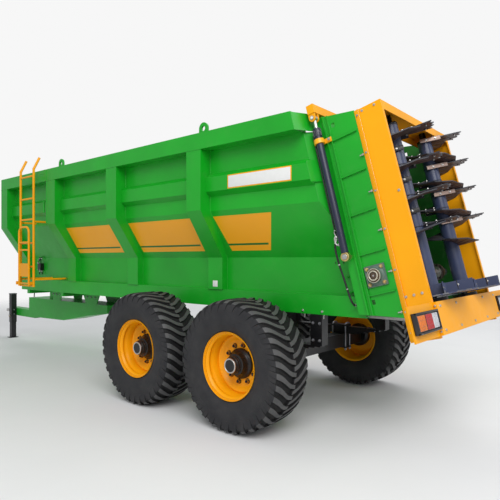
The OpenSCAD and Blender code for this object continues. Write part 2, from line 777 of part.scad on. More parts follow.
module door_rods() color(steel) place() leaning() both_sides() translate([door_u, cylinder_y, 0]) {
    translate([0, 0, eye_low_w + 140]) cylinder(h = rod_eye_w - eye_low_w - 140, r = rod_r);
    translate([0, 0, rod_eye_w]) rotate([90, 0, 0]) {
        cylinder(h = 2 * ear_half - 4, r = rod_eye_r, center = true);
        cylinder(h = 2 * (ear_half + beam_ear_t) + 16, r = pin_r, center = true);
    }
}

// Routes of the hydraulic hoses, each a list of hand-set points
hose_r = 9;
cylinder_hose = [[-815, 850, 1700], [-805, 850, 1620], [-830, 840, 1500], [-870, 830, 1380],
    [-905, 815, 1260], [-928, 800, 1180], [-930, 750, 1140], [-930, 725, 1140], [-930, 700.3, 1140]];
front_hose = [[5234.3, 350, 1310], [5300, 350, 1310], [5400, 345, 1330], [5550, 330, 1330], [5760, 290, 1250],
    [5880, 240, 1120], [5890, 200, 980], [5870, 180, 910], [5870, 180, 870], [5870, 180, 825.3]];

module hose(points, r) {
    sides = 8;
    count = len(points);
    rings = [for (i = [0:count - 1])
        let (a = points[max(i - 1, 0)], b = points[min(i + 1, count - 1)], d = (b - a) / norm(b - a),
            n = cross(d, abs(d[2]) > 0.9 ? [0, 1, 0] : [0, 0, 1]), e = n / norm(n), g = cross(d, e))
            [for (k = [0:sides - 1]) points[i] + r * (cos(k * 360 / sides) * e + sin(k * 360 / sides) * g)]];
    skin = [for (i = [0:count - 2], k = [0:sides - 1])
        [i * sides + k, i * sides + (k + 1) % sides, (i + 1) * sides + (k + 1) % sides, (i + 1) * sides + k]];
    ends = [[for (k = [sides - 1:-1:0]) k], [for (k = [0:sides - 1]) (count - 1) * sides + k]];
    polyhedron([for (ring = rings, p = ring) p], concat(skin, ends), convexity = 4);
}

module hydraulic_hoses() color(black) place() {
    both_sides() hose(cylinder_hose, hose_r);
    hose(front_hose, hose_r);
}

// Drive shaft from the front to the beater gearboxes under the floor
module drive_shaft() color(steel) place() {
    rear = rear_x + gearbox_u / cos(lean) + (drive_z + drive_r) * tan(lean) + 0.3;
    translate([rear, 0, drive_z]) rotate([0, 90, 0]) cylinder(h = stub_x - 120 - rear, r = drive_r);
    translate([stub_x - 120, 0, drive_z]) rotate([0, 90, 0]) cylinder(h = 120, r = stub_r);
}

module side_valve() color(black) place() {
    translate([4620, low_y, 1350]) {
        block([0, 90], [0, 60], [0, 110]);
        translate([45, 30, 110]) cylinder(h = 70, r = 8);
    }
}

lug_count = 36;
tread = 21;
// Rings across a tyre: [radius and place along the axle in a groove, the same on a lug, turn in lugs],
// where a ring whose two halves agree is a plain one
function tyre_rings() = let (half = tyre_w / 2, bead = rim_w / 2 - 15,
    seat = (rim_r - 14.4) / cos(180 / lug_count),
    side = [[seat, bead, seat, bead, 0], [rim_r + 6, bead + 2, rim_r + 6, bead + 2, 0],
        [rim_r + 85, half - 10, rim_r + 85, half - 10, 0], [rim_r + 180, half - 8, rim_r + 180, half - 8, 0],
        [tyre_r - 38, half - 40, tyre_r - 12, half - 27, 0.36]])
    concat(side, [[tyre_r - tread, 0, tyre_r, 0, 1.52]],
        [for (r = reversed(side)) [r[0], -r[1], r[2], -r[3], r[4] + 0.5]]);
// Places in a pitch: [share of the pitch, 0 in the groove and 1 on the lug]
lug_marks = [[0, 0], [0.4, 0], [0.49, 1], [0.91, 1]];

// Tyre with slanting lugs that meet in the middle, as one skin round its rings
module tyre() {
    rings = tyre_rings();
    marks = [for (r = rings) r[0] == r[2] ? [[0.5, 0]] : lug_marks];
    sizes = [for (m = marks) lug_count * len(m)];
    starts = [for (i = 0, n = 0; i < len(sizes); n = n + sizes[i], i = i + 1) n];
    points = [for (i = [0:len(rings) - 1], k = [0:lug_count - 1], m = marks[i])
        let (a = (k + m[0] + rings[i][4]) * 360 / lug_count, r = rings[i][2 * m[1]], y = rings[i][2 * m[1] + 1])
            [r * cos(a), y, r * sin(a)]];
    skin = [for (i = [0:len(rings) - 1]) let (j = (i + 1) % len(rings), p = len(marks[i]), q = len(marks[j]))
        for (k = [0:lug_count - 1]) let (a = function (n) starts[i] + (k * p + n) % sizes[i],
            b = function (n) starts[j] + (k * q + n) % sizes[j])
            each p == q ? [for (n = [0:p - 1]) each [[a(n), b(n), b(n + 1)], [a(n), b(n + 1), a(n + 1)]]]
                : p < q ? concat([for (n = [0:q - 1]) [a(0), b(n), b(n + 1)]], [[a(0), b(q), a(1)]])
                : concat([for (n = [0:p - 1]) [a(n), b(0), a(n + 1)]], [[a(p), b(0), b(1)]])];
    polyhedron(points, skin, convexity = 6);
}

dish_y = 11;
hub_bore_y = 99;
// Hub from its inner face to its cap, [radius, place along the axle]
hub_line = [[0, -70], [108, -70], [136, -50], [137, 30], [118, 44], [104, 60], [96, 100], [82, 106],
    [82, 121], [77, 128], [79, 138], [75, 144], [67, 164], [62, 172], [0, 172]];

// Rim with its flanges and humps, the dish, and the hub with its nuts
module rim() {
    half = rim_w / 2;
    r = rim_r;
    rotate([-90, 0, 0]) {
        rotate_extrude() polygon([[r, half], [r, half - 12], [r - 15, half - 14], [r - 15, -half + 14],
            [r, -half + 12], [r, -half], [r - 5, -half], [r - 22, -half + 14], [r - 28, -half + 50],
            [r - 41, -half + 80], [r - 41, 60], [r - 31, 105], [r - 23, 120], [r - 23, 132], [r - 32, 147],
            [r - 32, 158], [r - 22, 182], [r - 12, 194], [r - 4, half]]);
        rotate_extrude() polygon([[r - 39, 28], [r - 39, 42], [r - 50, 48], [r - 62, 46], [r - 85, 24],
            [r - 100, dish_y], [118, dish_y], [118, 0], [r - 96, 0], [r - 78, 14], [r - 56, 30]]);
        difference() {
            rotate_extrude() polygon(hub_line);
            translate([0, 0, -71]) cylinder(h = hub_bore_y + 71, r = 38 + running_gap);
        }
        for (i = [0:stud_count - 1])
            rotate([0, 0, (i + 0.25) * 360 / stud_count]) translate([stud_circle_r, 0, dish_y - 1]) {
                cylinder(h = 6, r = 21);
                cylinder(h = 22, r = 17, $fn = 6);
                cylinder(h = 32, r = 9);
            }
    }
}

module on_wheel(x, side) place() translate([x, side * track_y, tyre_r]) scale([1, side, 1]) children();

module tyre_front_left() color(black) on_wheel(wheelbase, 1) tyre();
module tyre_front_right() color(black) on_wheel(wheelbase, -1) tyre();
module tyre_rear_left() color(black) on_wheel(0, 1) tyre();
module tyre_rear_right() color(black) on_wheel(0, -1) tyre();
module rim_front_left() color(orange) on_wheel(wheelbase, 1) rim();
module rim_front_right() color(orange) on_wheel(wheelbase, -1) rim();
module rim_rear_left() color(orange) on_wheel(0, 1) rim();
module rim_rear_right() color(orange) on_wheel(0, -1) rim();

// Rotors, left and right: [side, hand of the screw, turn of the front row of blades, w of the top blade,
// w at which the flight starts]
rotors = [[1, 1, 206, 2662, 1720], [-1, -1, 214, beater_top_w - 5, 1650]];
flight_t = 10;
flight_steps = 20;
flight_notch = 20;
blade_t = 10;
bar_h = 40;
bar_t = 12;
// Radius of the stub shafts that a rotor turns on
pivot_r = 30;

function flight_w(rotor, turn) = rotor[3] - blade_t + rotor[1] * flight_pitch * (turn - rotor[2]) / 360;

// Screw flight with a notched rim, as one band round the tube
module flight(rotor) {
    first = ceil((rotor[4] - flight_w(rotor, 0)) * flight_steps / flight_pitch);
    last = floor((rotor[3] - blade_t - flight_w(rotor, 0)) * flight_steps / flight_pitch);
    in_r = tube_r - 6;
    points = [for (i = [first:last]) let (a = rotor[1] * i * 360 / flight_steps, w = flight_w(rotor, a),
        r = flight_r - (i % 2 == 0 ? 0 : flight_notch), x = cos(a), y = sin(a))
        each [[in_r * x, in_r * y, w], [r * x, r * y, w], [r * x, r * y, w + flight_t],
            [in_r * x, in_r * y, w + flight_t]]];
    quads = concat([[3, 2, 1, 0]], [for (i = [0:last - first - 1], k = [0:3])
        [4 * i + k, 4 * i + (k + 1) % 4, 4 * i + 4 + (k + 1) % 4, 4 * i + 4 + k]],
        [[for (k = [0:3]) 4 * (last - first) + k]]);
    skin = [for (q = quads) each [[q[0], q[1], q[2]], [q[0], q[2], q[3]]]];
    polyhedron(points, rotor[1] > 0 ? skin : [for (t = skin) [t[2], t[1], t[0]]]);
}

// A cutting blade that points along +X with its teeth at the sweep's edge, and the wear bar on its near edge
module blade(reach) {
    r = reach;
    linear_extrude(blade_t) polygon([[-60, -72], [r - 55, -75], [r - 9, -70], [r - 40, -40], [r - 1, -5],
        [r - 37, 15], [r - 8, 58], [r - 50, 75], [r - 34, 116], [r - 95, 100], [150, 62], [40, 30],
        [40, -38], [-60, -40]]);
    translate([-60, -72 - bar_t, blade_t + 5 - bar_h]) cube([200, bar_t + 1, bar_h]);
}

// A rotor: tube, screw flight, serrated blades and the disc with paddles at its foot
module beater(rotor) {
    difference() {
        union() {
            translate([0, 0, tube_foot_w]) cylinder(h = beater_top_w - tube_foot_w, r = tube_r);
            translate([0, 0, disc_w]) cylinder(h = disc_t, r = disc_r);
        }
        translate([0, 0, disc_w - 1]) cylinder(h = tube_foot_w - disc_w + 72, r = pivot_r + running_gap);
        translate([0, 0, beater_top_w - 70]) cylinder(h = 80, r = pivot_r + running_gap);
    }
    flight(rotor);
    rows = floor((rotor[3] - rotor[4]) / flight_pitch) + 1;
    for (i = [0:rows - 1])
        translate([0, 0, rotor[3] - blade_t - i * flight_pitch]) rotate([0, 0, rotor[2]])
            scale([1, -rotor[1], 1]) blade(blade_r);
    for (i = [0:rows - 2])
        translate([0, 0, rotor[3] - blade_t - (i + 0.5) * flight_pitch]) rotate([0, 0, rotor[2] + 180])
            scale([1, -rotor[1], 1]) blade(blade_r - 45);
    for (i = [0:3]) rotate([0, 0, i * 90 + 20]) translate([-100, 85, tube_foot_w - 0.5]) {
        cube([disc_r + 80, 10, paddle_h]);
        translate([300, 9, 12]) cube([125, 12, paddle_h - 24]);
    }
}

module beater_left() color(navy) place() leaning() translate([beater_u, beater_y, 0]) beater(rotors[0]);
module beater_right() color(navy) place() leaning() translate([beater_u, -beater_y, 0]) beater(rotors[1]);

hopper_left();
hopper_right();
hopper_front();
hopper_floor();
posts_left();
posts_right();
top_rail_left();
top_rail_right();
chassis_rails();
cross_members();
rear_wings();
rear_frame();
beater_housing();
lamp_board();
rear_lamps();
beater_drive();
floor_chain();
chain_shafts();
shaft_bearings();
axle_front();
axle_rear();
leaf_springs();
spring_hangers();
drawbar();
hitch_eye();
jack_tube();
ladder();
door_cylinders();
hydraulic_hoses();
drive_shaft();
side_valve();
tyre_front_left();
rim_front_left();
tyre_front_right();
rim_front_right();
tyre_rear_left();
rim_rear_left();
tyre_rear_right();
rim_rear_right();
beater_left();
beater_right();
door_panel();
door_rods();
jack_leg();
ladder_step();
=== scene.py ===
import math
from functools import partial

import bmesh
import bpy
from mathutils import Matrix, Vector

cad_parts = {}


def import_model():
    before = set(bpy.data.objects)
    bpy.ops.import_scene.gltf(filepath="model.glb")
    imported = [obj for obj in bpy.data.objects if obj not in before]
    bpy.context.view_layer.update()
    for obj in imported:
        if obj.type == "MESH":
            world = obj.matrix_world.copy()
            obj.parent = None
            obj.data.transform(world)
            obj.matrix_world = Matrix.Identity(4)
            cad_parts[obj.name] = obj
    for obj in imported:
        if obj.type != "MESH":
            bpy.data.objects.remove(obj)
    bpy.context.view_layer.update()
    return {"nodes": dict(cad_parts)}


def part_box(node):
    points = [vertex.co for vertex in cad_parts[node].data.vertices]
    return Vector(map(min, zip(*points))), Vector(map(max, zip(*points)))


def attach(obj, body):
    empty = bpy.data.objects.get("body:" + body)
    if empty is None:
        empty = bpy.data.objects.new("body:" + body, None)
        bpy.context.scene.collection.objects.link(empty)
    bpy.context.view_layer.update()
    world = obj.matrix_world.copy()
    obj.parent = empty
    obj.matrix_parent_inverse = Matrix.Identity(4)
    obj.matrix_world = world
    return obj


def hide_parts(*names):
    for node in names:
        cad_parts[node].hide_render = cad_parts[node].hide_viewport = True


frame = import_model()

# Places and sizes in metres. X is measured from the rear axle, as in the part's source.
tyre_low, tyre_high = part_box("tyre_rear_left")
ORIGIN = Vector(((tyre_low.x + tyre_high.x) / 2, 0, 0))
WHEELBASE = 1.331
TRACK = 1.118
TYRE_R = 0.588
RIM_R = 0.303
RIM_HALF = 0.202
REAR_X = -1.656
FRAME_Y = 0.78
HOUSING_Y = 0.783
HOUSING_U = 0.238
HOUSING_TOP = 2.85
HOUSING_FOOT = 0.91
BOARD_FOOT = 0.93
BOARD_H = 0.252
BOARD_T = 0.035
BOARD_Y = 1.27
DOOR_U = 0.34
DOOR_TOP = 2.965
CYLINDER_Y = 0.85
SADDLE_W = 2.69
EYE_W = 1.686
SHAFT_U = 0.145
SHAFT_Z = 1.396
POST_Y = 1.03
WALL_Y = 0.89
LOW_Y = 0.63
LOW_POST_Y = 0.712
RAIL_FOOT = 2.635
KNEE_Z = 2.02
SLOPE_FOOT = 1.545
CHASSIS_TOP = 1.21
CHASSIS_Z = 1.03
CHASSIS_Y = 0.7
SPRING_Y = 0.655
POSTS_X = (0.636, 2.085, 3.534, 5.024)
POST_W = 0.21
FRONT_X = 5.234
# The pressed band: how far out it goes, its foot and top on the wall, and the height of its bends
BAND_Y = 0.95
BAND_Z = (2.1651, 2.4001)
BAND_BEND = 0.045
# The two rotors
BEATER_U = -HOUSING_U / 2
BEATER_Y = 0.4
BEATER_TOP = HOUSING_TOP - 0.087
TUBE_R = 0.065
TUBE_FOOT_W = 1.232
PADDLES_TOP = 1.345
# Radii across the corners of bolt heads
SMALL_BOLT, BOLT, BIG_BOLT = 0.009, 0.0095, 0.0105


def at(x, y, z):
    """A point given from the rear axle, in the frame's own coordinates."""
    return ORIGIN + Vector((x, y, z))


LEAN = math.radians(14.5)
FROM_AXLE = Matrix.Translation(ORIGIN)
# Coordinates along the leaning rear frame: u forward, y left, w up
LEANING = Matrix.Translation(at(REAR_X, 0, 0)) @ Matrix.Rotation(LEAN, 4, "Y")
SHAFT_W = (SHAFT_Z + SHAFT_U * math.sin(LEAN)) / math.cos(LEAN)


# Materials. A helper finds the node tree by the node or socket that it is given.


def feed(target, value):
    """Link an input to a socket, or set it to a plain value."""
    if isinstance(value, bpy.types.NodeSocket):
        target.id_data.links.new(value, target)
    else:
        target.default_value = value


def put(node, **values):
    """Feed a node's inputs by name; an underscore stands for a space."""
    for key, value in values.items():
        feed(node.inputs[key.replace("_", " ")], value)
    return node


def add(near, kind, **values):
    """A new node in the tree that a node or socket is in."""
    return put(near.id_data.nodes.new("ShaderNode" + kind), **values)


def material(name):
    mat = bpy.data.materials.new(name)
    mat.use_nodes = True
    return mat, mat.node_tree.nodes["Principled BSDF"]


def surface(socket):
    put(socket.id_data.nodes["Material Output"], Surface=socket)


def place_of(near):
    return add(near, "TexCoord").outputs["Object"]


def noise(near, scale, detail=4.0, rough=0.55):
    tex = add(near, "TexNoise", Vector=place_of(near), Scale=scale, Detail=detail, Roughness=rough)
    return tex.outputs["Fac"]


def ramp(source, stops, shape="LINEAR"):
    """A colour that follows a number; a stop is (place, colour), where a plain number is a grey."""
    node = add(source, "ValToRGB", Fac=source)
    node.color_ramp.interpolation = shape
    elements = node.color_ramp.elements
    for i, (place, colour) in enumerate(stops):
        element = elements[i] if i < 2 else elements.new(place)
        element.position = place
        element.color = (*(colour if isinstance(colour, tuple) else (colour,) * 3), 1)
    return node.outputs["Color"]


def shade(colour, by):
    return tuple(min(1, c * by) for c in colour)


def drift(source, colour, spread):
    """A colour that goes a little darker and lighter by a number."""
    return ramp(source, [(0.3, shade(colour, 1 - spread)), (0.7, shade(colour, 1 + spread))])


def math_node(kind, *values):
    """A Math node's output; a value is a number or a socket."""
    node = add(next(v for v in values if isinstance(v, bpy.types.NodeSocket)), "Math")
    node.operation = kind
    for target, value in zip(node.inputs, values):
        feed(target, value)
    return node.outputs["Value"]


above = partial(math_node, "GREATER_THAN")
below = partial(math_node, "LESS_THAN")
times = partial(math_node, "MULTIPLY")


def vector_math(kind, first, second=None):
    node = add(first, "VectorMath")
    node.operation = kind
    feed(node.inputs[0], first)
    if second is not None:
        node.inputs[1].default_value = second
    return node.outputs["Vector" if kind == "SUBTRACT" else "Value"]


def mix_colour(factor, first, second):
    """A colour socket, turned to a plain colour by a factor."""
    mix = add(factor, "Mix")
    mix.data_type = "RGBA"
    for target, value in ((mix.inputs["Factor"], factor), (mix.inputs[6], first), (mix.inputs[7], (*second, 1))):
        feed(target, value)
    return mix.outputs[2]


def mix_shader(factor, first, second):
    mix = add(first, "MixShader", Fac=factor)
    feed(mix.inputs[1], first)
    feed(mix.inputs[2], second)
    return mix.outputs["Shader"]


def bump(shader, height, strength, distance, normal=None):
    node = add(shader, "Bump", Height=height, Strength=strength, Distance=distance)
    if normal is not None:
        put(node, Normal=normal)
    put(shader, Normal=node.outputs["Normal"])


def rounded(shader, height, strength, distance, radius):
    """Bump over edges that catch the light as a small radius would."""
    edge = add(shader, "Bevel", Radius=radius)
    edge.samples = 4
    bump(shader, height, strength, distance, edge.outputs["Normal"])


DUST_COLOUR = (0.34, 0.31, 0.25)
STAIN = (0.5, 0.4, 0.3)


def enamel(shader, colour, rough=0.33, coat=0.22, wave=0.35, dust=0.05, spread=0.12, level=0.4):
    """Sprayed enamel: slow colour drift, fine orange peel, sheet waves and dust."""
    specks = noise(shader, 9, 8, 0.7)
    tones = drift(noise(shader, 1.3, 3), colour, spread)
    put(shader, Base_Color=mix_colour(ramp(specks, [(0.52, 0), (0.85, dust)]), tones, DUST_COLOUR),
        Roughness=ramp(specks, [(0.3, rough), (0.8, min(1, rough + 0.22))]), Specular_IOR_Level=level,
        Coat_Weight=coat, Coat_Roughness=0.2)
    peel = math_node("MULTIPLY_ADD", noise(shader, 160, 2, 0.5), 0.02, noise(shader, 2.6, 2, 0.4))
    rounded(shader, peel, wave, 0.02, 0.003)


def bare(shader, colour, rough=0.35, grain=0.25):
    """Bare metal with grain, dull patches and a stain in its hollows."""
    fine = noise(shader, 45, 8, 0.7)
    stained = tuple(c * s * 1.6 for c, s in zip(colour, STAIN))
    put(shader, Base_Color=ramp(fine, [(0.25, shade(colour, 0.75)), (0.6, colour), (0.85, stained)]),
        Roughness=ramp(fine, [(0.3, rough), (0.75, rough + 0.25)]), Metallic=1)
    rounded(shader, fine, grain, 0.002, 0.0015)


def dusty_rubber(shader, colour, dust, rough):
    put(shader, Base_Color=ramp(noise(shader, 6, 6, 0.65), [(0.35, colour), (0.75, dust)]), Roughness=rough,
        Specular_IOR_Level=0.35)
    bump(shader, noise(shader, 220, 4, 0.6), 0.35, 0.001)


def moulded(shader, colour, rough, spread=0.1):
    put(shader, Base_Color=drift(noise(shader, 30, 3), colour, spread), Roughness=rough, Coat_Weight=0.3)


def made_of(fill, name, *values, **more):
    """A material whose shader one of the functions above fills in."""
    mat, shader = material(name)
    fill(shader, *values, **more)
    return mat


paint = partial(made_of, enamel)
metal = partial(made_of, bare)
rubber = partial(made_of, dusty_rubber)
plastic = partial(made_of, moulded)

GREEN_COLOUR = (0.003, 0.355, 0.012)
NAVY_COLOUR = (0.038, 0.05, 0.11)
BARREL_NAVY = (0.013, 0.016, 0.042)
BLADE_BLACK = (0.02, 0.021, 0.03)
BLADE_BROWN = (0.075, 0.032, 0.022)
ORANGE_VALUES = {"colour": (0.93, 0.385, 0.003), "rough": 0.3, "coat": 0.12, "wave": 0.25, "dust": 0, "level": 0.2}

GREEN = paint("green_enamel", GREEN_COLOUR)
# Green darkened as painted shade, with dust, for parts under the machine
SHADED_GREEN = paint("green_enamel_inside", shade(GREEN_COLOUR, 0.7), rough=0.4, coat=0.2, dust=0.3)
ORANGE = paint("orange_enamel", spread=0.06, **ORANGE_VALUES)
BLACK = paint("black_enamel", (0.005, 0.005, 0.006), coat=0.2, wave=0.1, dust=0.03)
STEEL = metal("bright_steel", (0.62, 0.61, 0.59), 0.28)
CAST = paint("cast_grey_green", (0.1, 0.155, 0.125), rough=0.5, coat=0.1, wave=0.3, dust=0.2)
PALE = metal("pale_ring_steel", (0.66, 0.62, 0.5), 0.42)
BROWN = metal("brown_shaft_end", (0.17, 0.125, 0.09), 0.5, 0.5)
ZINC = metal("yellow_zinc", (0.75, 0.56, 0.24), 0.3)
TAN_BAR = metal("worn_bar", (0.46, 0.34, 0.29), 0.45, 0.5)
WELD = paint("weld_bead", (0.03, 0.032, 0.045), rough=0.5, coat=0.1)
WORN = metal("worn_blade_steel", (0.33, 0.33, 0.35), 0.42, 0.4)
GREY = paint("grey_enamel", (0.16, 0.16, 0.15), rough=0.5, coat=0.1, wave=0.1)
TYRE = rubber("tyre_rubber", (0.017, 0.017, 0.02), (0.036, 0.035, 0.036), 0.62)
LUG_TOP = rubber("tyre_lug_tops", (0.06, 0.06, 0.062), (0.1, 0.1, 0.1), 0.6)
# Very dark rubber as painted shade for the tread's grooves and the lugs' flanks
SHADED_GROOVE = rubber("tyre_grooves", (0.006, 0.006, 0.007), (0.013, 0.013, 0.013), 0.8)
HOSE = rubber("hose_rubber", (0.012, 0.012, 0.013), (0.03, 0.03, 0.03), 0.55)
WHITE = plastic("white_plastic", (0.78, 0.78, 0.76), 0.35, 0.02)
RED_LENS = plastic("red_lens", (0.62, 0.03, 0.03), 0.12)
AMBER_LENS = plastic("amber_lens", (0.95, 0.24, 0.02), 0.12)
CLEAR_LENS = plastic("clear_lens", (0.8, 0.8, 0.83), 0.1)
LAMP_FRAME = plastic("lamp_frame", (0.012, 0.012, 0.014), 0.4)
DECAL = paint("decal_orange", (0.95, 0.4, 0.005), rough=0.35, coat=0.2, wave=0.15, dust=0, spread=0.03)
DECAL_GREEN = paint("decal_green", (0.01, 0.16, 0.02), rough=0.35, coat=0.2, wave=0.15, dust=0.02)


def leaning_place(near):
    """Sockets of u, y and w of a point on a node of the rear frame."""
    apart = vector_math("SUBTRACT", place_of(near), at(REAR_X, 0, 0))
    return [vector_math("DOT_PRODUCT", apart, axis) for axis in LEANING.to_3x3().transposed()]


def zoned(name, base, *zones):
    """A material that changes by place; a zone is (mask by u, y and w, shader filler)."""
    mat, shader = material(name)
    base(shader)
    place = leaning_place(shader)
    last = shader.outputs["BSDF"]
    for mask, fill in zones:
        other = add(shader, "BsdfPrincipled")
        fill(other)
        last = mix_shader(mask(*place), last, other.outputs["BSDF"])
    surface(last)
    return mat


def rotor_look(name, side):
    """Navy tube, dark blades that are rusty from below and worn bright towards their tips."""
    mat, shader = material(name)
    enamel(shader, NAVY_COLOUR, rough=0.3, wave=0.1, dust=0.12)
    u, y, w = leaning_place(shader)
    squares = [math_node("POWER", math_node("SUBTRACT", value, axis), 2.0)
               for value, axis in ((u, BEATER_U), (y, side * BEATER_Y))]
    reach = math_node("SQRT", math_node("ADD", *squares))
    off_tube = times(above(reach, TUBE_R + 0.004), above(w, PADDLES_TOP))
    blades = add(shader, "BsdfPrincipled")
    enamel(blades, BLADE_BLACK, rough=0.42, coat=0.15, wave=0.3, dust=0.35, spread=0.3)
    down = vector_math("DOT_PRODUCT", add(shader, "NewGeometry").outputs["Normal"], -LEANING.to_3x3().col[2])
    patches = noise(shader, 7, 6, 0.7)
    rusty = times(above(down, 0.4), ramp(patches, [(0.35, 0.35), (0.6, 1)]))
    painted = blades.inputs["Base Color"].links[0].from_socket
    put(blades, Base_Color=mix_colour(rusty, painted, BLADE_BROWN))
    tips = add(shader, "BsdfPrincipled")
    bare(tips, (0.2, 0.2, 0.21), 0.4, 0.4)
    worn = above(math_node("ADD", reach, times(patches, 0.12)), 0.405)
    both = mix_shader(off_tube, shader.outputs["BSDF"], blades.outputs["BSDF"])
    surface(mix_shader(worn, both, tips.outputs["BSDF"]))
    return mat


def chain_look():
    """Dark steel with a link pattern along the chain."""
    mat, shader = material("conveyor_steel")
    bare(shader, (0.17, 0.15, 0.13), 0.5, 0.5)
    links = add(shader, "TexWave", Vector=place_of(shader), Scale=9.0, Distortion=0.0)
    links.bands_direction = "X"
    bump(shader, links.outputs["Fac"], 0.6, 0.01, shader.inputs["Normal"].links[0].from_socket)
    return mat


in_green = partial(enamel, colour=GREEN_COLOUR)
in_orange = partial(enamel, **ORANGE_VALUES)
# Green darkened as painted shade, with more dust, for inner faces that lie in shadow
painted_shade_green = partial(enamel, colour=shade(GREEN_COLOUR, 0.28), rough=0.55, coat=0.05, dust=0.2)

# The rear frame's inner faces and the door's rear face carry painted shade, and the door's beam and ends are orange
FRAME_LOOK = zoned("rear_frame_paint_and_shade", in_green,
                   (lambda u, y, w: below(math_node("ABSOLUTE", y), FRAME_Y - 0.004), painted_shade_green))
DOOR_LOOK = zoned("door_paint_and_shade", in_green,
                  (lambda u, y, w: times(below(u, DOOR_U), below(w, DOOR_TOP - 0.1)), painted_shade_green),
                  (lambda u, y, w: math_node("MAXIMUM", above(w, DOOR_TOP - 0.0005),
                                             above(math_node("ABSOLUTE", y), 0.76)), in_orange))
# Navy barrels with a black pipe, yellow saddles and zinc-plated lower eyes
CYLINDER_LOOK = zoned(
    "cylinder_paint", partial(enamel, colour=BARREL_NAVY, rough=0.3, wave=0.08),
    (lambda u, y, w: above(u, DOOR_U + 0.0335),
     partial(enamel, colour=(0.006, 0.006, 0.007), rough=0.3, wave=0.08)),
    (lambda u, y, w: times(above(w, SADDLE_W - 0.001), below(w, SADDLE_W + 0.041)),
     partial(enamel, colour=(0.95, 0.43, 0.01), wave=0.1)),
    (lambda u, y, w: below(w, EYE_W + 0.031), partial(bare, colour=(0.72, 0.55, 0.25), rough=0.3)))

NODE_LOOKS = {
    GREEN: ("hopper_left", "hopper_right", "hopper_front", "hopper_floor", "posts_left", "posts_right",
            "top_rail_left", "top_rail_right", "chassis_rails", "drawbar", "rear_wings"),
    # Cross members under the machine take the green with painted shade
    SHADED_GREEN: ("cross_members",),
    ORANGE: ("beater_housing", "lamp_board", "ladder", "ladder_step"),
    BLACK: ("beater_drive", "axle_front", "axle_rear", "leaf_springs", "spring_hangers", "jack_tube",
            "jack_leg", "side_valve"),
    STEEL: ("chain_shafts", "hitch_eye", "drive_shaft", "door_rods"),
    CAST: ("shaft_bearings",),
    rotor_look("rotor_left_paint", 1): ("beater_left",),
    rotor_look("rotor_right_paint", -1): ("beater_right",),
    chain_look(): ("floor_chain",),
    FRAME_LOOK: ("rear_frame",),
    DOOR_LOOK: ("door_panel",),
    CYLINDER_LOOK: ("door_cylinders",),
}
for look, names in NODE_LOOKS.items():
    for name in names:
        node = frame["nodes"][name]
        node.data.materials.clear()
        node.data.materials.append(look)


# Mesh building

HERE = Matrix()


def turn_z(degrees):
    return Matrix.Rotation(math.radians(degrees), 4, "Z")


def sideways(side):
    """A turn that points Z to the left for side 1 and to the right for side -1."""
    return Matrix.Rotation(math.radians(-90 * side), 4, "X")


def polar(radius, degrees, z=0.0):
    turn = math.radians(degrees)
    return Vector((radius * math.cos(turn), radius * math.sin(turn), z))


def facing(point, outward):
    """A placement whose Z axis points outward from a point."""
    return Matrix.Translation(point) @ Vector(outward).to_track_quat("Z", "Y").to_matrix().to_4x4()


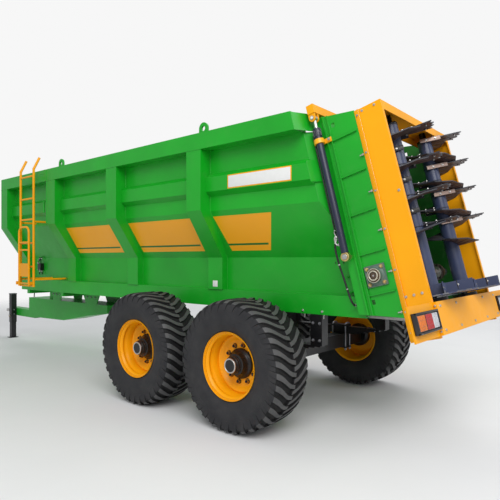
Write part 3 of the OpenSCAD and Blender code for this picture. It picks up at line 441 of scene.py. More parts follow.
class Piece:
    """One mesh that several simple forms are added to, each with its own material.

    Points and places are in the coordinates of its base, which may change between forms.
    """

    def __init__(self, name, base=HERE):
        self.name, self.base = name, base
        self.bm = bmesh.new()
        self.looks = []

    def take(self, verts, look, place=None, bevel=0.0):
        """Move new vertices from a place in base, and give their faces a look."""
        if place is not None:
            bmesh.ops.transform(self.bm, matrix=self.base @ place, verts=verts)
        if look not in self.looks:
            self.looks.append(look)
        for f in {f for v in verts for f in v.link_faces}:
            f.material_index = self.looks.index(look)
            f.smooth = True
        if bevel:
            edges = {e for v in verts for e in v.link_edges if len(e.link_faces) == 2 and e.calc_face_angle(0) > 0.5}
            bmesh.ops.bevel(self.bm, geom=list(edges), offset=bevel, segments=2, profile=0.6, affect="EDGES",
                            clamp_overlap=True)

    def block(self, low, high, look, bevel=0.0015, place=HERE):
        low, high = Vector(low), Vector(high)
        size = high - low
        verts = bmesh.ops.create_cube(self.bm, size=1.0)["verts"]
        fit = Matrix.Translation((low + high) / 2) @ Matrix.Diagonal((*size, 1))
        self.take(verts, look, place @ fit, min(bevel, min(size) / 3))

    def prism(self, outline, depth, look, bevel=0.0, place=HERE):
        """An outline in X and Y, pushed up along Z."""
        low, high = ([self.bm.verts.new((x, y, z)) for x, y in outline] for z in (0, depth))
        self.bm.faces.new(low[::-1])
        self.bm.faces.new(high)
        for i in range(len(outline)):
            self.bm.faces.new((low[i - 1], low[i], high[i], high[i - 1]))
        bmesh.ops.recalc_face_normals(self.bm, faces=list({f for v in low + high for f in v.link_faces}))
        self.take(low + high, look, place, bevel)

    def turned(self, profile, look, steps=64, place=HERE, closed=False):
        """A profile of (radius, height) turned about Z."""
        rings = [[self.bm.verts.new(polar(radius, 360 * k / steps, height)) for k in range(steps if radius else 1)]
                 for radius, height in profile]
        for low, high in list(zip(rings, rings[1:])) + ([(rings[-1], rings[0])] if closed else []):
            for k in range(steps):
                n = (k + 1) % steps
                corners = [low[k % len(low)], low[n % len(low)], high[n % len(high)], high[k % len(high)]]
                corners = list(dict.fromkeys(corners))
                if len(corners) > 2:
                    self.bm.faces.new(corners)
        self.take([v for ring in rings for v in ring], look, place)

    def rod(self, a, b, radius, look, steps=16):
        a, b = self.base @ Vector(a), self.base @ Vector(b)
        turn = (b - a).to_track_quat("Z", "Y").to_matrix().to_4x4()
        edge, reach = radius * 0.12, (b - a).length
        self.turned([(0, 0), (radius - edge, 0), (radius, edge), (radius, reach - edge), (radius - edge, reach),
                     (0, reach)], look, steps, self.base.inverted() @ Matrix.Translation(a) @ turn)

    def tube(self, points, radius, look, steps=12, caps=True):
        points = [self.base @ Vector(p) for p in points]
        rings = []
        normal = None
        for i, p in enumerate(points):
            ahead = (points[min(i + 1, len(points) - 1)] - points[max(i - 1, 0)]).normalized()
            if normal is None:
                normal = ahead.orthogonal().normalized()
            normal = (normal - ahead * normal.dot(ahead)).normalized()
            side = ahead.cross(normal)
            corners = (polar(radius, 360 * k / steps) for k in range(steps))
            rings.append([self.bm.verts.new(p + c.x * normal + c.y * side) for c in corners])
        for low, high in zip(rings, rings[1:]):
            for k in range(steps):
                self.bm.faces.new((low[k - 1], low[k], high[k], high[k - 1]))
        if caps:
            self.bm.faces.new(rings[0][::-1])
            self.bm.faces.new(rings[-1])
        self.take([v for ring in rings for v in ring], look)

    def bolt(self, place, size, look, length=0.0, washer=True):
        """A hexagon head on a washer, with a threaded end of some length; Z points out of the surface."""
        thick = size * 0.16
        if washer:
            self.turned([(0, 0), (size * 1.15, 0), (size * 1.15, thick), (0, thick)], look, 20, place)
        self.prism([polar(size, 60 * k).xy for k in range(6)], size * 0.75, look, size * 0.08,
                   place @ Matrix.Translation((0, 0, thick)))
        if length:
            self.rod(place.translation, place @ Vector((0, 0, size * 0.9 + length)), size * 0.5, look, 12)

    def done(self, body, replaces=(), sharp=35):
        mesh = bpy.data.meshes.new(self.name)
        bmesh.ops.recalc_face_normals(self.bm, faces=self.bm.faces[:])
        self.bm.to_mesh(mesh)
        self.bm.free()
        for look in self.looks:
            mesh.materials.append(look)
        mesh.set_sharp_from_angle(angle=math.radians(sharp))
        obj = bpy.data.objects.new(self.name, mesh)
        bpy.context.scene.collection.objects.link(obj)
        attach(obj, body)
        if replaces:
            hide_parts(*replaces)


# Wheels

LUGS = 36
TREAD_R = 0.566
SHOULDER = (0.545, 0.2165)
BEAD = RIM_HALF - 0.016
# Half of the tyre's section from bead to crown, (radius, place along the axle)
TYRE_SECTION = [
    (RIM_R - 0.012, BEAD - 0.03), (RIM_R - 0.012, BEAD - 0.004), (RIM_R + 0.004, BEAD + 0.002),
    (RIM_R + 0.012, BEAD + 0.012), (RIM_R + 0.02, BEAD + 0.014), (RIM_R + 0.032, BEAD + 0.018),
    (RIM_R + 0.05, 0.217), (RIM_R + 0.075, 0.2245), (RIM_R + 0.1, 0.2285), (0.43, 0.2297), (0.447, 0.2303),
    (0.448, 0.2314), (0.47, 0.2314), (0.471, 0.23), (0.5, 0.2285), (0.525, 0.2245), SHOULDER, (0.556, 0.206),
    (0.5615, 0.19), (0.5645, 0.15), (TREAD_R, 0.08), (TREAD_R, 0.0)]
# A lug's middle line: (radius, place along the axle, turn in degrees, half width in degrees, height)
LUG_LINE = [
    (0.487, 0.2295, 0.0, 2.6, 0.001), (0.505, 0.2275, 0.7, 2.7, 0.0035), (0.53, 0.2225, 1.7, 2.75, 0.0085),
    (0.55, 0.2125, 2.6, 2.8, 0.0125), (0.5605, 0.196, 3.7, 2.85, 0.0155), (0.5635, 0.17, 5.4, 2.7, 0.019),
    (0.565, 0.13, 8.2, 2.45, 0.0205), (TREAD_R, 0.085, 11.6, 2.2, 0.0215), (TREAD_R, 0.045, 13.8, 2.1, 0.0215),
    (TREAD_R, -0.012, 15.2, 2.0, 0.0215)]
# Stretches of the middle line on the side wall, where a lug stands out sideways and its top is dark
ON_WALL = 3


def lug_rings(side, turn):
    """Corner points of a lug along its middle line."""
    rings = []
    for i, (r, y, angle, half, height) in enumerate(LUG_LINE):
        before, after = LUG_LINE[max(i - 1, 0)], LUG_LINE[min(i + 1, len(LUG_LINE) - 1)]
        slope = Vector((after[0] - before[0], after[1] - before[1])).normalized()
        out = Vector((-slope.y, slope.x))
        if out.x < 0 and i > ON_WALL or out.y < 0 and i <= ON_WALL:
            out = -out
        ring = []
        for wide, rise in ((1.25, -0.004), (0.86, height), (-0.86, height), (-1.25, -0.004)):
            spot = polar(r + out.x * rise, turn + angle + wide * half)
            ring.append((spot.x, side * (y + out.y * rise), spot.y))
        rings.append(ring)
    return rings


def tyre(label, centre, hand):
    piece = Piece("rubber_" + label, Matrix.Translation(centre))
    piece.looks = [TYRE, LUG_TOP, SHADED_GROOVE]
    section = [(r, -y) for r, y in TYRE_SECTION] + TYRE_SECTION[-2::-1]
    wall = TYRE_SECTION.index(SHOULDER) + 1
    # The tread's floor between the shoulders takes the painted shade of the grooves
    for part, look in ((section[:wall], TYRE), (section[wall - 1:1 - wall], SHADED_GROOVE), (section[-wall:], TYRE)):
        piece.turned(part, look, 144, sideways(-1))
    for side in (1, -1):
        for k in range(LUGS):
            turn = 360 * (k + 0.7 + (0.5 if side != hand else 0)) / LUGS
            rings = [[piece.bm.verts.new(p) for p in ring] for ring in lug_rings(side, turn)]
            tops, flanks = [], []
            for low, high in zip(rings, rings[1:]):
                for a, part in enumerate((flanks, tops, flanks)):
                    part.append(piece.bm.faces.new((low[a], low[a + 1], high[a + 1], high[a])))
            piece.bm.faces.new(rings[0])
            piece.bm.faces.new(rings[-1][::-1])
            piece.take([v for ring in rings for v in ring], TYRE, HERE)
            # The lugs' flanks take the painted shade of the grooves
            for faces, look in ((tops[ON_WALL:], LUG_TOP), (flanks, SHADED_GROOVE)):
                for face in faces:
                    face.material_index = piece.looks.index(look)
    piece.done("wheel_" + label, ("tyre_" + label,), 28)


# The rim from its inner lip to its outer lip and back on the air side, (radius, place along the axle)
RIM_SECTION = [
    (0.288, -0.19), (RIM_R, -0.195), (RIM_R, -RIM_HALF), (RIM_R - 0.006, -RIM_HALF), (0.281, -0.185),
    (0.276, -0.15), (0.262, -0.12), (0.262, 0.06), (0.266, 0.085), (0.272, 0.105), (0.28, 0.118), (0.282, 0.128),
    (0.2795, 0.138), (0.272, 0.146), (0.27, 0.154), (0.274, 0.166), (0.286, 0.178), (0.296, 0.187),
    (0.2985, 0.194), (0.299, RIM_HALF - 0.002), (RIM_R - 0.001, RIM_HALF), (RIM_R, RIM_HALF - 0.004),
    (RIM_R, 0.19), (0.2885, 0.188), (0.2885, -0.188)]
DISH_SECTION = [
    (0.264, 0.028), (0.262, 0.04), (0.256, 0.047), (0.246, 0.048), (0.232, 0.04), (0.218, 0.024), (0.206, 0.014),
    (0.194, 0.011), (0.118, 0.011), (0.118, 0.0), (0.194, 0.0), (0.21, 0.004), (0.224, 0.014), (0.24, 0.03),
    (0.256, 0.028)]
# The hub, the cap's ring and the cap: (profile, look, steps)
HUB = (([(0.0, -0.07), (0.108, -0.07), (0.136, -0.05), (0.137, 0.03), (0.128, 0.04), (0.118, 0.044),
         (0.104, 0.06), (0.098, 0.085), (0.096, 0.1), (0.09, 0.104), (0.082, 0.106), (0.081, 0.112),
         (0.083, 0.114), (0.083, 0.119), (0.08, 0.121), (0.077, 0.128), (0.077, 0.134), (0.079, 0.136),
         (0.079, 0.141), (0.075, 0.144), (0.07, 0.158), (0.067, 0.164)], BLACK, 64),
       ([(0.067, 0.164), (0.066, 0.17), (0.062, 0.173), (0.057, 0.1725), (0.054, 0.17)], STEEL, 48),
       ([(0.054, 0.17), (0.05, 0.1695), (0.0, 0.1705)], BLACK, 48))
STUDS, STUD_CIRCLE_R = 10, 0.1675


def wheel(label, centre, side):
    """Rim and dish in orange with the black hub, nuts and cap."""
    piece = Piece("rimset_" + label, Matrix.Translation(centre) @ sideways(side))
    for section in (RIM_SECTION, DISH_SECTION):
        piece.turned(section, ORANGE, 96, closed=True)
    for form in HUB:
        piece.turned(*form)
    for k in range(STUDS):
        seat = Matrix.Translation(polar(STUD_CIRCLE_R, 360 * (k + 0.25) / STUDS, 0.011))
        piece.turned([(0.0235, 0), (0.0235, 0.004), (0.0195, 0.008)], BLACK, 20, seat)
        piece.bolt(seat @ Matrix.Translation((0, 0, 0.006)), 0.0185, BLACK, 0.012, False)
    # Valve
    piece.rod(polar(0.266, 198, 0.08), polar(0.25, 198, 0.115), 0.006, BLACK, 10)
    piece.done("wheel_" + label, ("rim_" + label,), 32)


for end, x in (("front", WHEELBASE), ("rear", 0.0)):
    for hand, side in (("left", 1), ("right", -1)):
        for make in (tyre, wheel):
            make("%s_%s" % (end, hand), at(x, side * TRACK, TYRE_R), side)


# Rotors: wear bars, bolts and nuts

BLADE_T = 0.01
BLADE_R = 0.355
FLIGHT_PITCH = 0.278
BAR_OUT = 0.0842
# side, hand of the screw, turn of the front row of blades, top blade along w, flight's start along w
ROTORS = {"beater_left": (1, 1, 206, 2.662, 1.72), "beater_right": (-1, -1, 214, BEATER_TOP - 0.005, 1.65)}


def rotor_trim(body, side, hand, turn, top, start):
    piece = Piece(body + "_trim", LEANING @ Matrix.Translation((BEATER_U, side * BEATER_Y, 0)))
    rows = math.floor((top - start) / FLIGHT_PITCH) + 1
    # Both rows of blades: (pitches below the top one, turn, reach)
    blades = [(i, turn, BLADE_R) for i in range(rows)]
    blades += [(i + 0.5, turn + 180, BLADE_R - 0.045) for i in range(rows - 1)]
    for down, angle, reach in blades:
        place = Matrix.Translation((0, 0, top - BLADE_T - down * FLIGHT_PITCH)) @ turn_z(angle)
        near, out = sorted((hand * BAR_OUT, hand * 0.0715))
        piece.block((-0.0605, near, BLADE_T - 0.035), (0.1405, out, BLADE_T + 0.0052),
                    BLACK if side > 0 else TAN_BAR, 0.003, place)
        for x in (0.0, 0.09):
            piece.bolt(place @ facing((x, hand * BAR_OUT, -0.005), (0, hand, 0)), SMALL_BOLT, STEEL, 0.004)
        for x, y in ((0.085, 0.05), (0.125, -0.055), (0.165, 0.055), (reach - 0.07, -0.045), (reach - 0.075, 0.06)):
            piece.bolt(place @ facing((x, -hand * y, BLADE_T), (0, 0, 1)), SMALL_BOLT, STEEL, 0.003)
            piece.bolt(place @ facing((x, -hand * y, 0), (0, 0, -1)), SMALL_BOLT, STEEL, 0.006, False)
        # Weld where the blade meets the tube
        piece.tube([place @ polar(TUBE_R * 1.01, 12 * k, -0.001) for k in range(31)], 0.004, WELD, 6, False)
    # Wear plates of the paddles, and the foot disc's bolts
    for k in range(4):
        place = turn_z(90 * k + 20) @ Matrix.Translation((-0.1, 0.085, TUBE_FOOT_W))
        piece.block((0.2995, 0.1055, 0.0115), (0.4255, 0.1066, 0.0785), GREY, 0.0005, place)
        for x in (0.325, 0.4):
            piece.bolt(place @ facing((x, 0.1066, 0.045), (0, 1, 0)), SMALL_BOLT, STEEL, 0.003)
    for k in range(8):
        piece.bolt(facing(polar(0.095, 45 * k + 10, TUBE_FOOT_W), (0, 0, 1)), SMALL_BOLT, STEEL)
    # Cap ring at the tube's upper end and the weld at its foot
    piece.turned([(0.031, BEATER_TOP), (0.066, BEATER_TOP), (0.0675, BEATER_TOP - 0.004), (0.0675, BEATER_TOP - 0.02),
                  (0.0655, BEATER_TOP - 0.024)], BLACK, 40)
    piece.turned([(0.065, TUBE_FOOT_W + 0.009), (0.074, TUBE_FOOT_W + 0.003), (0.076, TUBE_FOOT_W)], WELD, 40)
    piece.done(body)


for rotor, values in ROTORS.items():
    rotor_trim(rotor, *values)


# Rear housing: bolts along its edges, folded lips and the panel behind it

FOLD_W, FOLD_OUT = 0.044, 0.014
FRONT_BOLTS_W = (2.801, 2.473, 2.144, 1.822, 1.486)
# Bolts in the side plate's face, low ones first: (u, w)
SIDE_BOLTS = ((-0.053, 1.262), (-0.119, 1.264), (-0.185, 1.266), (-0.024, 1.15), (-0.082, 1.118), (-0.055, 1.081),
              (-0.028, 0.985), (-0.11, 0.958), (-0.207, 2.084), (-0.181, 2.825), (-0.069, 2.825))
PANEL_BOLTS_W = (2.468, 2.153, 1.827, 1.486, 1.157)


def housing_trim():
    piece = Piece("housing_bolts", LEANING)
    board_low, board_high = BOARD_FOOT + 0.035, BOARD_FOOT + BOARD_H - 0.035
    for side in (1, -1):
        for u, w in SIDE_BOLTS:
            piece.bolt(facing((u, side * HOUSING_Y, w), (0, side, 0)), BOLT, STEEL)
        # Fold that stands out down the front edge, with the bolts in its slope
        fold = [(0, -0.001), (-FOLD_W, -0.001), (-FOLD_W, FOLD_OUT), (-FOLD_W + 0.004, FOLD_OUT), (0, 0.0008)]
        piece.prism([(u, side * (HOUSING_Y + out)) for u, out in fold], HOUSING_TOP - HOUSING_FOOT, ORANGE, 0.001,
                    Matrix.Translation((0, 0, HOUSING_FOOT)))
        for w in FRONT_BOLTS_W:
            piece.bolt(facing((-FOLD_W / 2 - 0.002, side * (HOUSING_Y + FOLD_OUT / 2), w),
                              (FOLD_OUT, side * (FOLD_W - 0.004), 0)), BOLT, STEEL)
        for w in PANEL_BOLTS_W:
            y = side * (FRAME_Y + 0.014)
            piece.rod((-0.001, y, w), (0.035, y, w), 0.006, STEEL, 10)
            piece.bolt(facing((0.003, y, w), (1, 0, 0)), BIG_BOLT, STEEL)
        # Welds up the plate's inner corners
        for u in (-HOUSING_U + 0.008, -0.008):
            piece.tube([(u, side * (HOUSING_Y - 0.008), HOUSING_FOOT + 0.03 + 0.15 * i) for i in range(13)], 0.003,
                       ORANGE, 6)
        # Lamp board, and the end flange of its deep middle
        for y, w in ((0.735, board_low), (0.735, board_high), (0.0, board_low), (0.37, board_high),
                     (0.37, board_low)):
            if y or side > 0:
                piece.bolt(facing((-HOUSING_U - BOARD_T, side * y, w), (-1, 0, 0)), 0.01, STEEL)
        for w in (BOARD_FOOT + 0.03, BOARD_FOOT + BOARD_H - 0.03):
            piece.bolt(facing((-HOUSING_U - 0.022, side * 0.8, w), (0, side, 0)), 0.008, STEEL)
        # Gearbox: round the cover under the rotor, and on its rear face
        for k in range(8):
            spot = Vector((BEATER_U, side * BEATER_Y, 1.21)) + polar(0.094, 45 * k + 22)
            piece.bolt(facing(spot, (0, 0, 1)), 0.007, STEEL, 0, False)
        for w in (1.03, 1.12):
            for y in (0.27, 0.53):
                piece.bolt(facing((BEATER_U - 0.08, side * y, w), (-1, 0, 0)), 0.01, STEEL)
    # Top beam
    for k in range(7):
        for u in (-0.19, -0.05):
            piece.bolt(facing((u, -0.66 + 0.22 * k, HOUSING_TOP), (0, 0, 1)), SMALL_BOLT, STEEL)
    piece.done("root")


housing_trim()


# Bearings of the rear conveyor shaft: (profile, look, steps) of each ring from the housing to the shaft's end

BEARING_RINGS = (
    ([(0.0795, 0.0178), (0.0775, 0.021), (0.072, 0.026), (0.0655, 0.03), (0.0622, 0.04)], CAST, 56),
    ([(0.0622, 0.05), (0.061, 0.0562), (0.0585, 0.0572)], CAST, 56),
    ([(0.0585, 0.0572), (0.0575, 0.0592), (0.0525, 0.0592), (0.051, 0.0565)], PALE, 56),
    ([(0.051, 0.0565), (0.0505, 0.0555), (0.0425, 0.0555), (0.0418, 0.056)], BROWN, 56),
    ([(0.0418, 0.0552), (0.0415, 0.0685), (0.0395, 0.0698), (0.0335, 0.0698), (0.0303, 0.0672)], PALE, 56),
    ([(0.0299, 0.058), (0.0299, 0.0596), (0.0285, 0.0604), (0.008, 0.0604), (0.005, 0.0585), (0, 0.058)], BROWN, 40))


def bearing_trim():
    piece = Piece("bearing_rings")
    for side in (1, -1):
        piece.base = LEANING @ Matrix.Translation((SHAFT_U, side * FRAME_Y, SHAFT_W)) @ sideways(side)
        for ring in BEARING_RINGS:
            piece.turned(*ring)
        # Lock screw and grease nipple
        piece.rod((0.0395, 0, 0.062), (0.0418, 0, 0.062), 0.004, BLACK, 8)
        piece.rod((0.045, 0.045, 0.036), (0.054, 0.054, 0.052), 0.0035, ZINC, 8)
        for x in (-0.064, 0.064):
            for y in (-0.064, 0.064):
                piece.turned([(0.0185, 0.0175), (0.0185, 0.0195), (0.017, 0.021), (0, 0.021)], CAST, 24,
                             Matrix.Translation((x, y, 0)))
                piece.bolt(Matrix.Translation((x, y, 0.0205)) @ Matrix.Rotation(0.3, 4, "Z"), 0.0135, ZINC, 0.007)
    piece.done("root")


bearing_trim()


# Hydraulic hoses, with their routes as in the part's source

CYLINDER_HOSE = [(-0.815, 0.85, 1.7), (-0.805, 0.85, 1.62), (-0.83, 0.84, 1.5), (-0.87, 0.83, 1.38),
                 (-0.905, 0.815, 1.26), (-0.928, 0.8, 1.18), (-0.93, 0.75, 1.14), (-0.93, 0.725, 1.14),
                 (-0.93, 0.7003, 1.14)]
FRONT_HOSE = [(5.2343, 0.35, 1.31), (5.3, 0.35, 1.31), (5.4, 0.345, 1.33), (5.55, 0.33, 1.33), (5.76, 0.29, 1.25),
              (5.88, 0.24, 1.12), (5.89, 0.2, 0.98), (5.87, 0.18, 0.91), (5.87, 0.18, 0.87), (5.87, 0.18, 0.8253)]
HOSE_R = 0.009
# Crimped end of a hose: (start from the tip, length, how far it stands out of the hose, steps)
CRIMP = ((0, 0.045, 0.0025, 14), (0, 0.014, 0.005, 6), (0.021, 0.003, 0.0035, 14), (0.029, 0.003, 0.0035, 14),
         (0.037, 0.003, 0.0035, 14))


def smooth(points, parts=6):
    """Points of a curve through the given ones, with some parts from one to the next."""
    points = [Vector(p) for p in points]
    found = []
    for i in range(len(points) - 1):
        a, b = points[max(i - 1, 0)], points[i]
        c, d = points[i + 1], points[min(i + 2, len(points) - 1)]
        for k in range(parts):
            t = k / parts
            found.append(0.5 * (2 * b + (c - a) * t + (2 * a - 5 * b + 4 * c - d) * t * t
                                + (3 * b - a - 3 * c + d) * t ** 3))
    return found + [points[-1]]


def hose(piece, points):
    """A rubber hose with crimped steel ends; its middle line is given back."""
    path = smooth(points)
    piece.tube(path, HOSE_R, HOSE)
    for tip, next_one in ((path[0], path[2]), (path[-1], path[-3])):
        along = (next_one - tip).normalized()
        for start, length, out, steps in CRIMP:
            piece.rod(tip + along * start, tip + along * (start + length), HOSE_R + out, STEEL, steps)
    return path


def hoses():
    piece = Piece("hose_lines", FROM_AXLE)
    hose(piece, FRONT_HOSE)
    for side in (1, -1):
        path = hose(piece, [(x, side * y, z) for x, y, z in CYLINDER_HOSE])
        # Clamps
        for i in (13, 23):
            along = (path[i + 1] - path[i]).normalized() * 0.005
            piece.rod(path[i] - along, path[i] + along, 0.0112, STEEL)
    piece.done("root", ("hydraulic_hoses",))


hoses()


# Door gear: pins and unions


def door_gear():
    fixed = Piece("cylinder_unions")
    mouth = DOOR_TOP - 0.135
    for side in (1, -1):
        fixed.base = LEANING @ Matrix.Translation((DOOR_U, side * CYLINDER_Y, 0))
        # Union from the barrel's foot to the top of the hose, and the elbow above it
        x, y, z = CYLINDER_HOSE[0]
        ends = [fixed.base.inverted() @ at(x, side * y, z + up) for up in (0.012, 0)]
        fixed.rod((0.024, 0, 1.8), (0.044, 0, 1.8), 0.013, STEEL, 6)
        fixed.tube(smooth([(0.026, 0, 1.8), (0.052, 0, 1.8), (0.064, side * 0.004, 1.825),
                           (0.058, side * 0.006, 1.868), *ends]), 0.0072, STEEL)
        fixed.tube(smooth([(0.045, 0, 1.872), (0.047, side * 0.014, 1.905), (0.03, side * 0.03, 1.92)]), 0.0065, STEEL)
        fixed.rod((0.045, 0, 1.862), (0.045, 0, 1.884), 0.0105, STEEL, 6)
        # Gland nut and wiper at the barrel's mouth
        fixed.turned([(0.0163, mouth + 0.0005), (0.0235, mouth + 0.001), (0.0255, mouth - 0.003),
                      (0.0255, mouth - 0.0055)], WORN, 40)
        for k in range(18):
            fixed.block((0.0366, -0.0025, mouth - 0.07), (0.0376, 0.0025, mouth - 0.012), BLACK, 0.0003,
                        turn_z(20 * k))
        # Washers and ring of the pin through the lower eye
        eye = Matrix.Translation((0, 0, EYE_W)) @ sideways(side)
        fixed.turned([(0.0385, 0.006), (0.0385, 0.0185), (0.036, 0.021), (0.0245, 0.021), (0.023, 0.019)], ZINC, 40,
                     eye)
        fixed.turned([(0.023, 0.0205), (0.023, 0.026), (0.0215, 0.0275), (0.004, 0.0275), (0, 0.026)], STEEL, 32, eye)
        for u in (-0.079, 0.022):
            fixed.bolt(facing((u, side * (FRAME_Y + 0.045 - CYLINDER_Y), SADDLE_W + 0.02), (0, side, 0)), 0.011, STEEL,
                       0.004)
    fixed.done("root")
    moving = Piece("door_pins", LEANING)
    for side in (1, -1):
        for out in (1, -1):
            cap = facing((DOOR_U, side * (CYLINDER_Y + out * 0.041), DOOR_TOP - 0.038), (0, side * out, 0))
            moving.turned([(0.0122, -0.006), (0.019, -0.006), (0.019, -0.003), (0.0125, -0.003)], STEEL, 24, cap)
            moving.turned([(0.0125, -0.002), (0.0125, 0.0008), (0.011, 0.0016), (0.0, 0.0016)],
                          WHITE if out > 0 else STEEL, 24, cap)
    # Bolts that fix the door's sheet to its beam
    for k in range(9):
        moving.bolt(facing((DOOR_U - 0.01, -0.68 + 0.17 * k, DOOR_TOP - 0.045), (-1, 0, 0)), SMALL_BOLT, STEEL)
    # Stiffeners' welds across the door
    for w in (1.98, 2.3, 2.62):
        moving.tube([(DOOR_U - 0.0105, -0.66 + 0.11 * k, w) for k in range(13)], 0.004, GREEN, 6)
    moving.done("door")


door_gear()


# Rear lamps, which replace the CAD's plain ones


def rear_lamps():
    piece = Piece("lamp_lenses", LEANING)
    seat = -HOUSING_U - 0.01
    foot, top, wide, deep, rim = BOARD_FOOT + 0.05, BOARD_FOOT + 0.2, 0.42, 0.04, 0.014
    inner = wide - 2 * rim
    for side in (1, -1):
        outer = side * (BOARD_Y - 0.02)

        def box(low_u, high_u, near, far, low_w, high_w, look, bevel):
            """A block with its sides measured in from the lamp's outer end."""
            y = sorted((outer - side * near, outer - side * far))
            piece.block((low_u, y[0], low_w), (high_u, y[1], high_w), look, bevel)

        box(seat - deep + rim, seat, 0, wide, foot, top, LAMP_FRAME, 0.004)
        for near, far, low_w, high_w in ((0, wide, foot, foot + rim), (0, wide, top - rim, top),
                                         (0, rim, foot, top), (wide - rim, wide, foot, top)):
            box(seat - deep, seat - deep + rim + 0.002, near, far, low_w, high_w, LAMP_FRAME, 0.004)
        for start, end, rise, look in ((0.0, 0.36, 0.012, AMBER_LENS), (0.36, 0.7, 0.012, RED_LENS),
                                       (0.7, 1.0, 0.007, CLEAR_LENS)):
            near, far = rim + start * inner + 0.003, rim + end * inner - 0.003
            front = seat - deep + rim - rise
            box(front + 0.0015, front + 0.01, near, far, foot + rim + 0.005, top - rim - 0.005, look, 0.003)
            # Ribs moulded in the lens
            count = max(4, int((far - near) / 0.013))
            for k in range(count):
                y = near + (far - near) * (k + 0.5) / count
                box(front, front + 0.003, y - 0.0035, y + 0.0035, foot + rim + 0.009, top - rim - 0.009, look, 0.001)
            for share in (0.33, 0.66):
                w = foot + rim + (top - foot - 2 * rim) * share
                box(front - 0.0003, front + 0.003, near + 0.004, far - 0.004, w - 0.0015, w + 0.0015, look, 0.0005)
        for y in (0.03, wide - 0.03):
            piece.bolt(facing((seat - deep, outer - side * y, foot + rim / 2), (-1, 0, 0)), 0.004, STEEL, 0, False)
    piece.done("root", ("rear_lamps",))


rear_lamps()


# Sheets on the hopper's sides: panels of colour, the blank plate and a bare label

SLOPE_IN = WALL_Y - LOW_Y
SLOPE_DOWN = KNEE_Z - SLOPE_FOOT
SLOPE_LENGTH = math.hypot(SLOPE_IN, SLOPE_DOWN)
# Panels of colour: front and rear ends at the top, then rear and front ends at the foot
DECALS = ((3.525, 2.463, 2.424, 3.49), (2.075, 0.977, 0.935, 2.024), (0.626, -0.13, 0.02, 0.533))
DECAL_TOP, DECAL_FOOT = 0.115, 0.85
STRIPE = (0.695, 0.735)
# Blank white plate on its orange border: (rear foot, front top, look, how far it stands out)
PLATE = (((-0.425, 2.217), (0.34, 2.351), ORANGE, 0.0012), ((-0.414, 2.227), (0.329, 2.341), WHITE, 0.0018))


def sheet_on_slope(piece, ends, side, look, out=0.0008, columns=14):
    """A thin sheet between two rows on the sloping side; a row is (share of the way down, front x, rear x)."""
    rows = [[piece.bm.verts.new((front + (rear - front) * k / columns,
                                 side * (WALL_Y - SLOPE_IN * share + out * SLOPE_DOWN / SLOPE_LENGTH),
                                 KNEE_Z - SLOPE_DOWN * share - out * SLOPE_IN / SLOPE_LENGTH))
             for k in range(columns + 1)] for share, front, rear in ends]
    for k in range(columns):
        corners = (rows[0][k], rows[0][k + 1], rows[1][k + 1], rows[1][k])
        piece.bm.faces.new(corners if side < 0 else corners[::-1])
    piece.take(rows[0] + rows[1], look, HERE)


def side_panels():
    piece = Piece("side_panels", FROM_AXLE)
    for side in (1, -1):
        for front, rear, low_rear, low_front in DECALS:
            sheet_on_slope(piece, ((DECAL_TOP, front, rear), (DECAL_FOOT, low_front, low_rear)), side, DECAL)
            stripe = []
            for share in STRIPE:
                t = (share - DECAL_TOP) / (DECAL_FOOT - DECAL_TOP)
                stripe.append((share, front + (low_front - front) * t, rear + (low_rear - rear) * t + 0.03))
            sheet_on_slope(piece, stripe, side, DECAL_GREEN, 0.0014)
        for low, high, look, out in PLATE:
            y = sorted((side * (BAND_Y - 0.0005), side * (BAND_Y + out)))
            piece.block((low[0], y[0], low[1]), (high[0], y[1], high[1]), look, 0.0003)
    # Bare label on the lowest part of a post
    piece.block((0.705, LOW_POST_Y - 0.001, 1.235), (0.775, LOW_POST_Y + 0.0008, 1.3), WHITE, 0.0003)
    piece.done("root")


side_panels()


# Sides: weld beads, front corners, plugs and bolts

# Turns an outline in X and Y into one in Y and Z that is pushed along X
YZ_UP_X = Matrix(((0, 0, 1, 0), (1, 0, 0, 0), (0, 1, 0, 0), (0, 0, 0, 1)))
# The wall from rail to chassis beside a post: (y, z)
WALL_LINE = ((WALL_Y, RAIL_FOOT), (WALL_Y, KNEE_Z), (LOW_Y, SLOPE_FOOT), (LOW_Y, CHASSIS_TOP))
# Front corner that fills the end of the pressed band: (y, z)
BAND_END = ((WALL_Y - 0.002, BAND_Z[0]), (BAND_Y - 0.0004, BAND_Z[0] + BAND_BEND),
            (BAND_Y - 0.0004, BAND_Z[1] - BAND_BEND), (WALL_Y - 0.002, BAND_Z[1]))


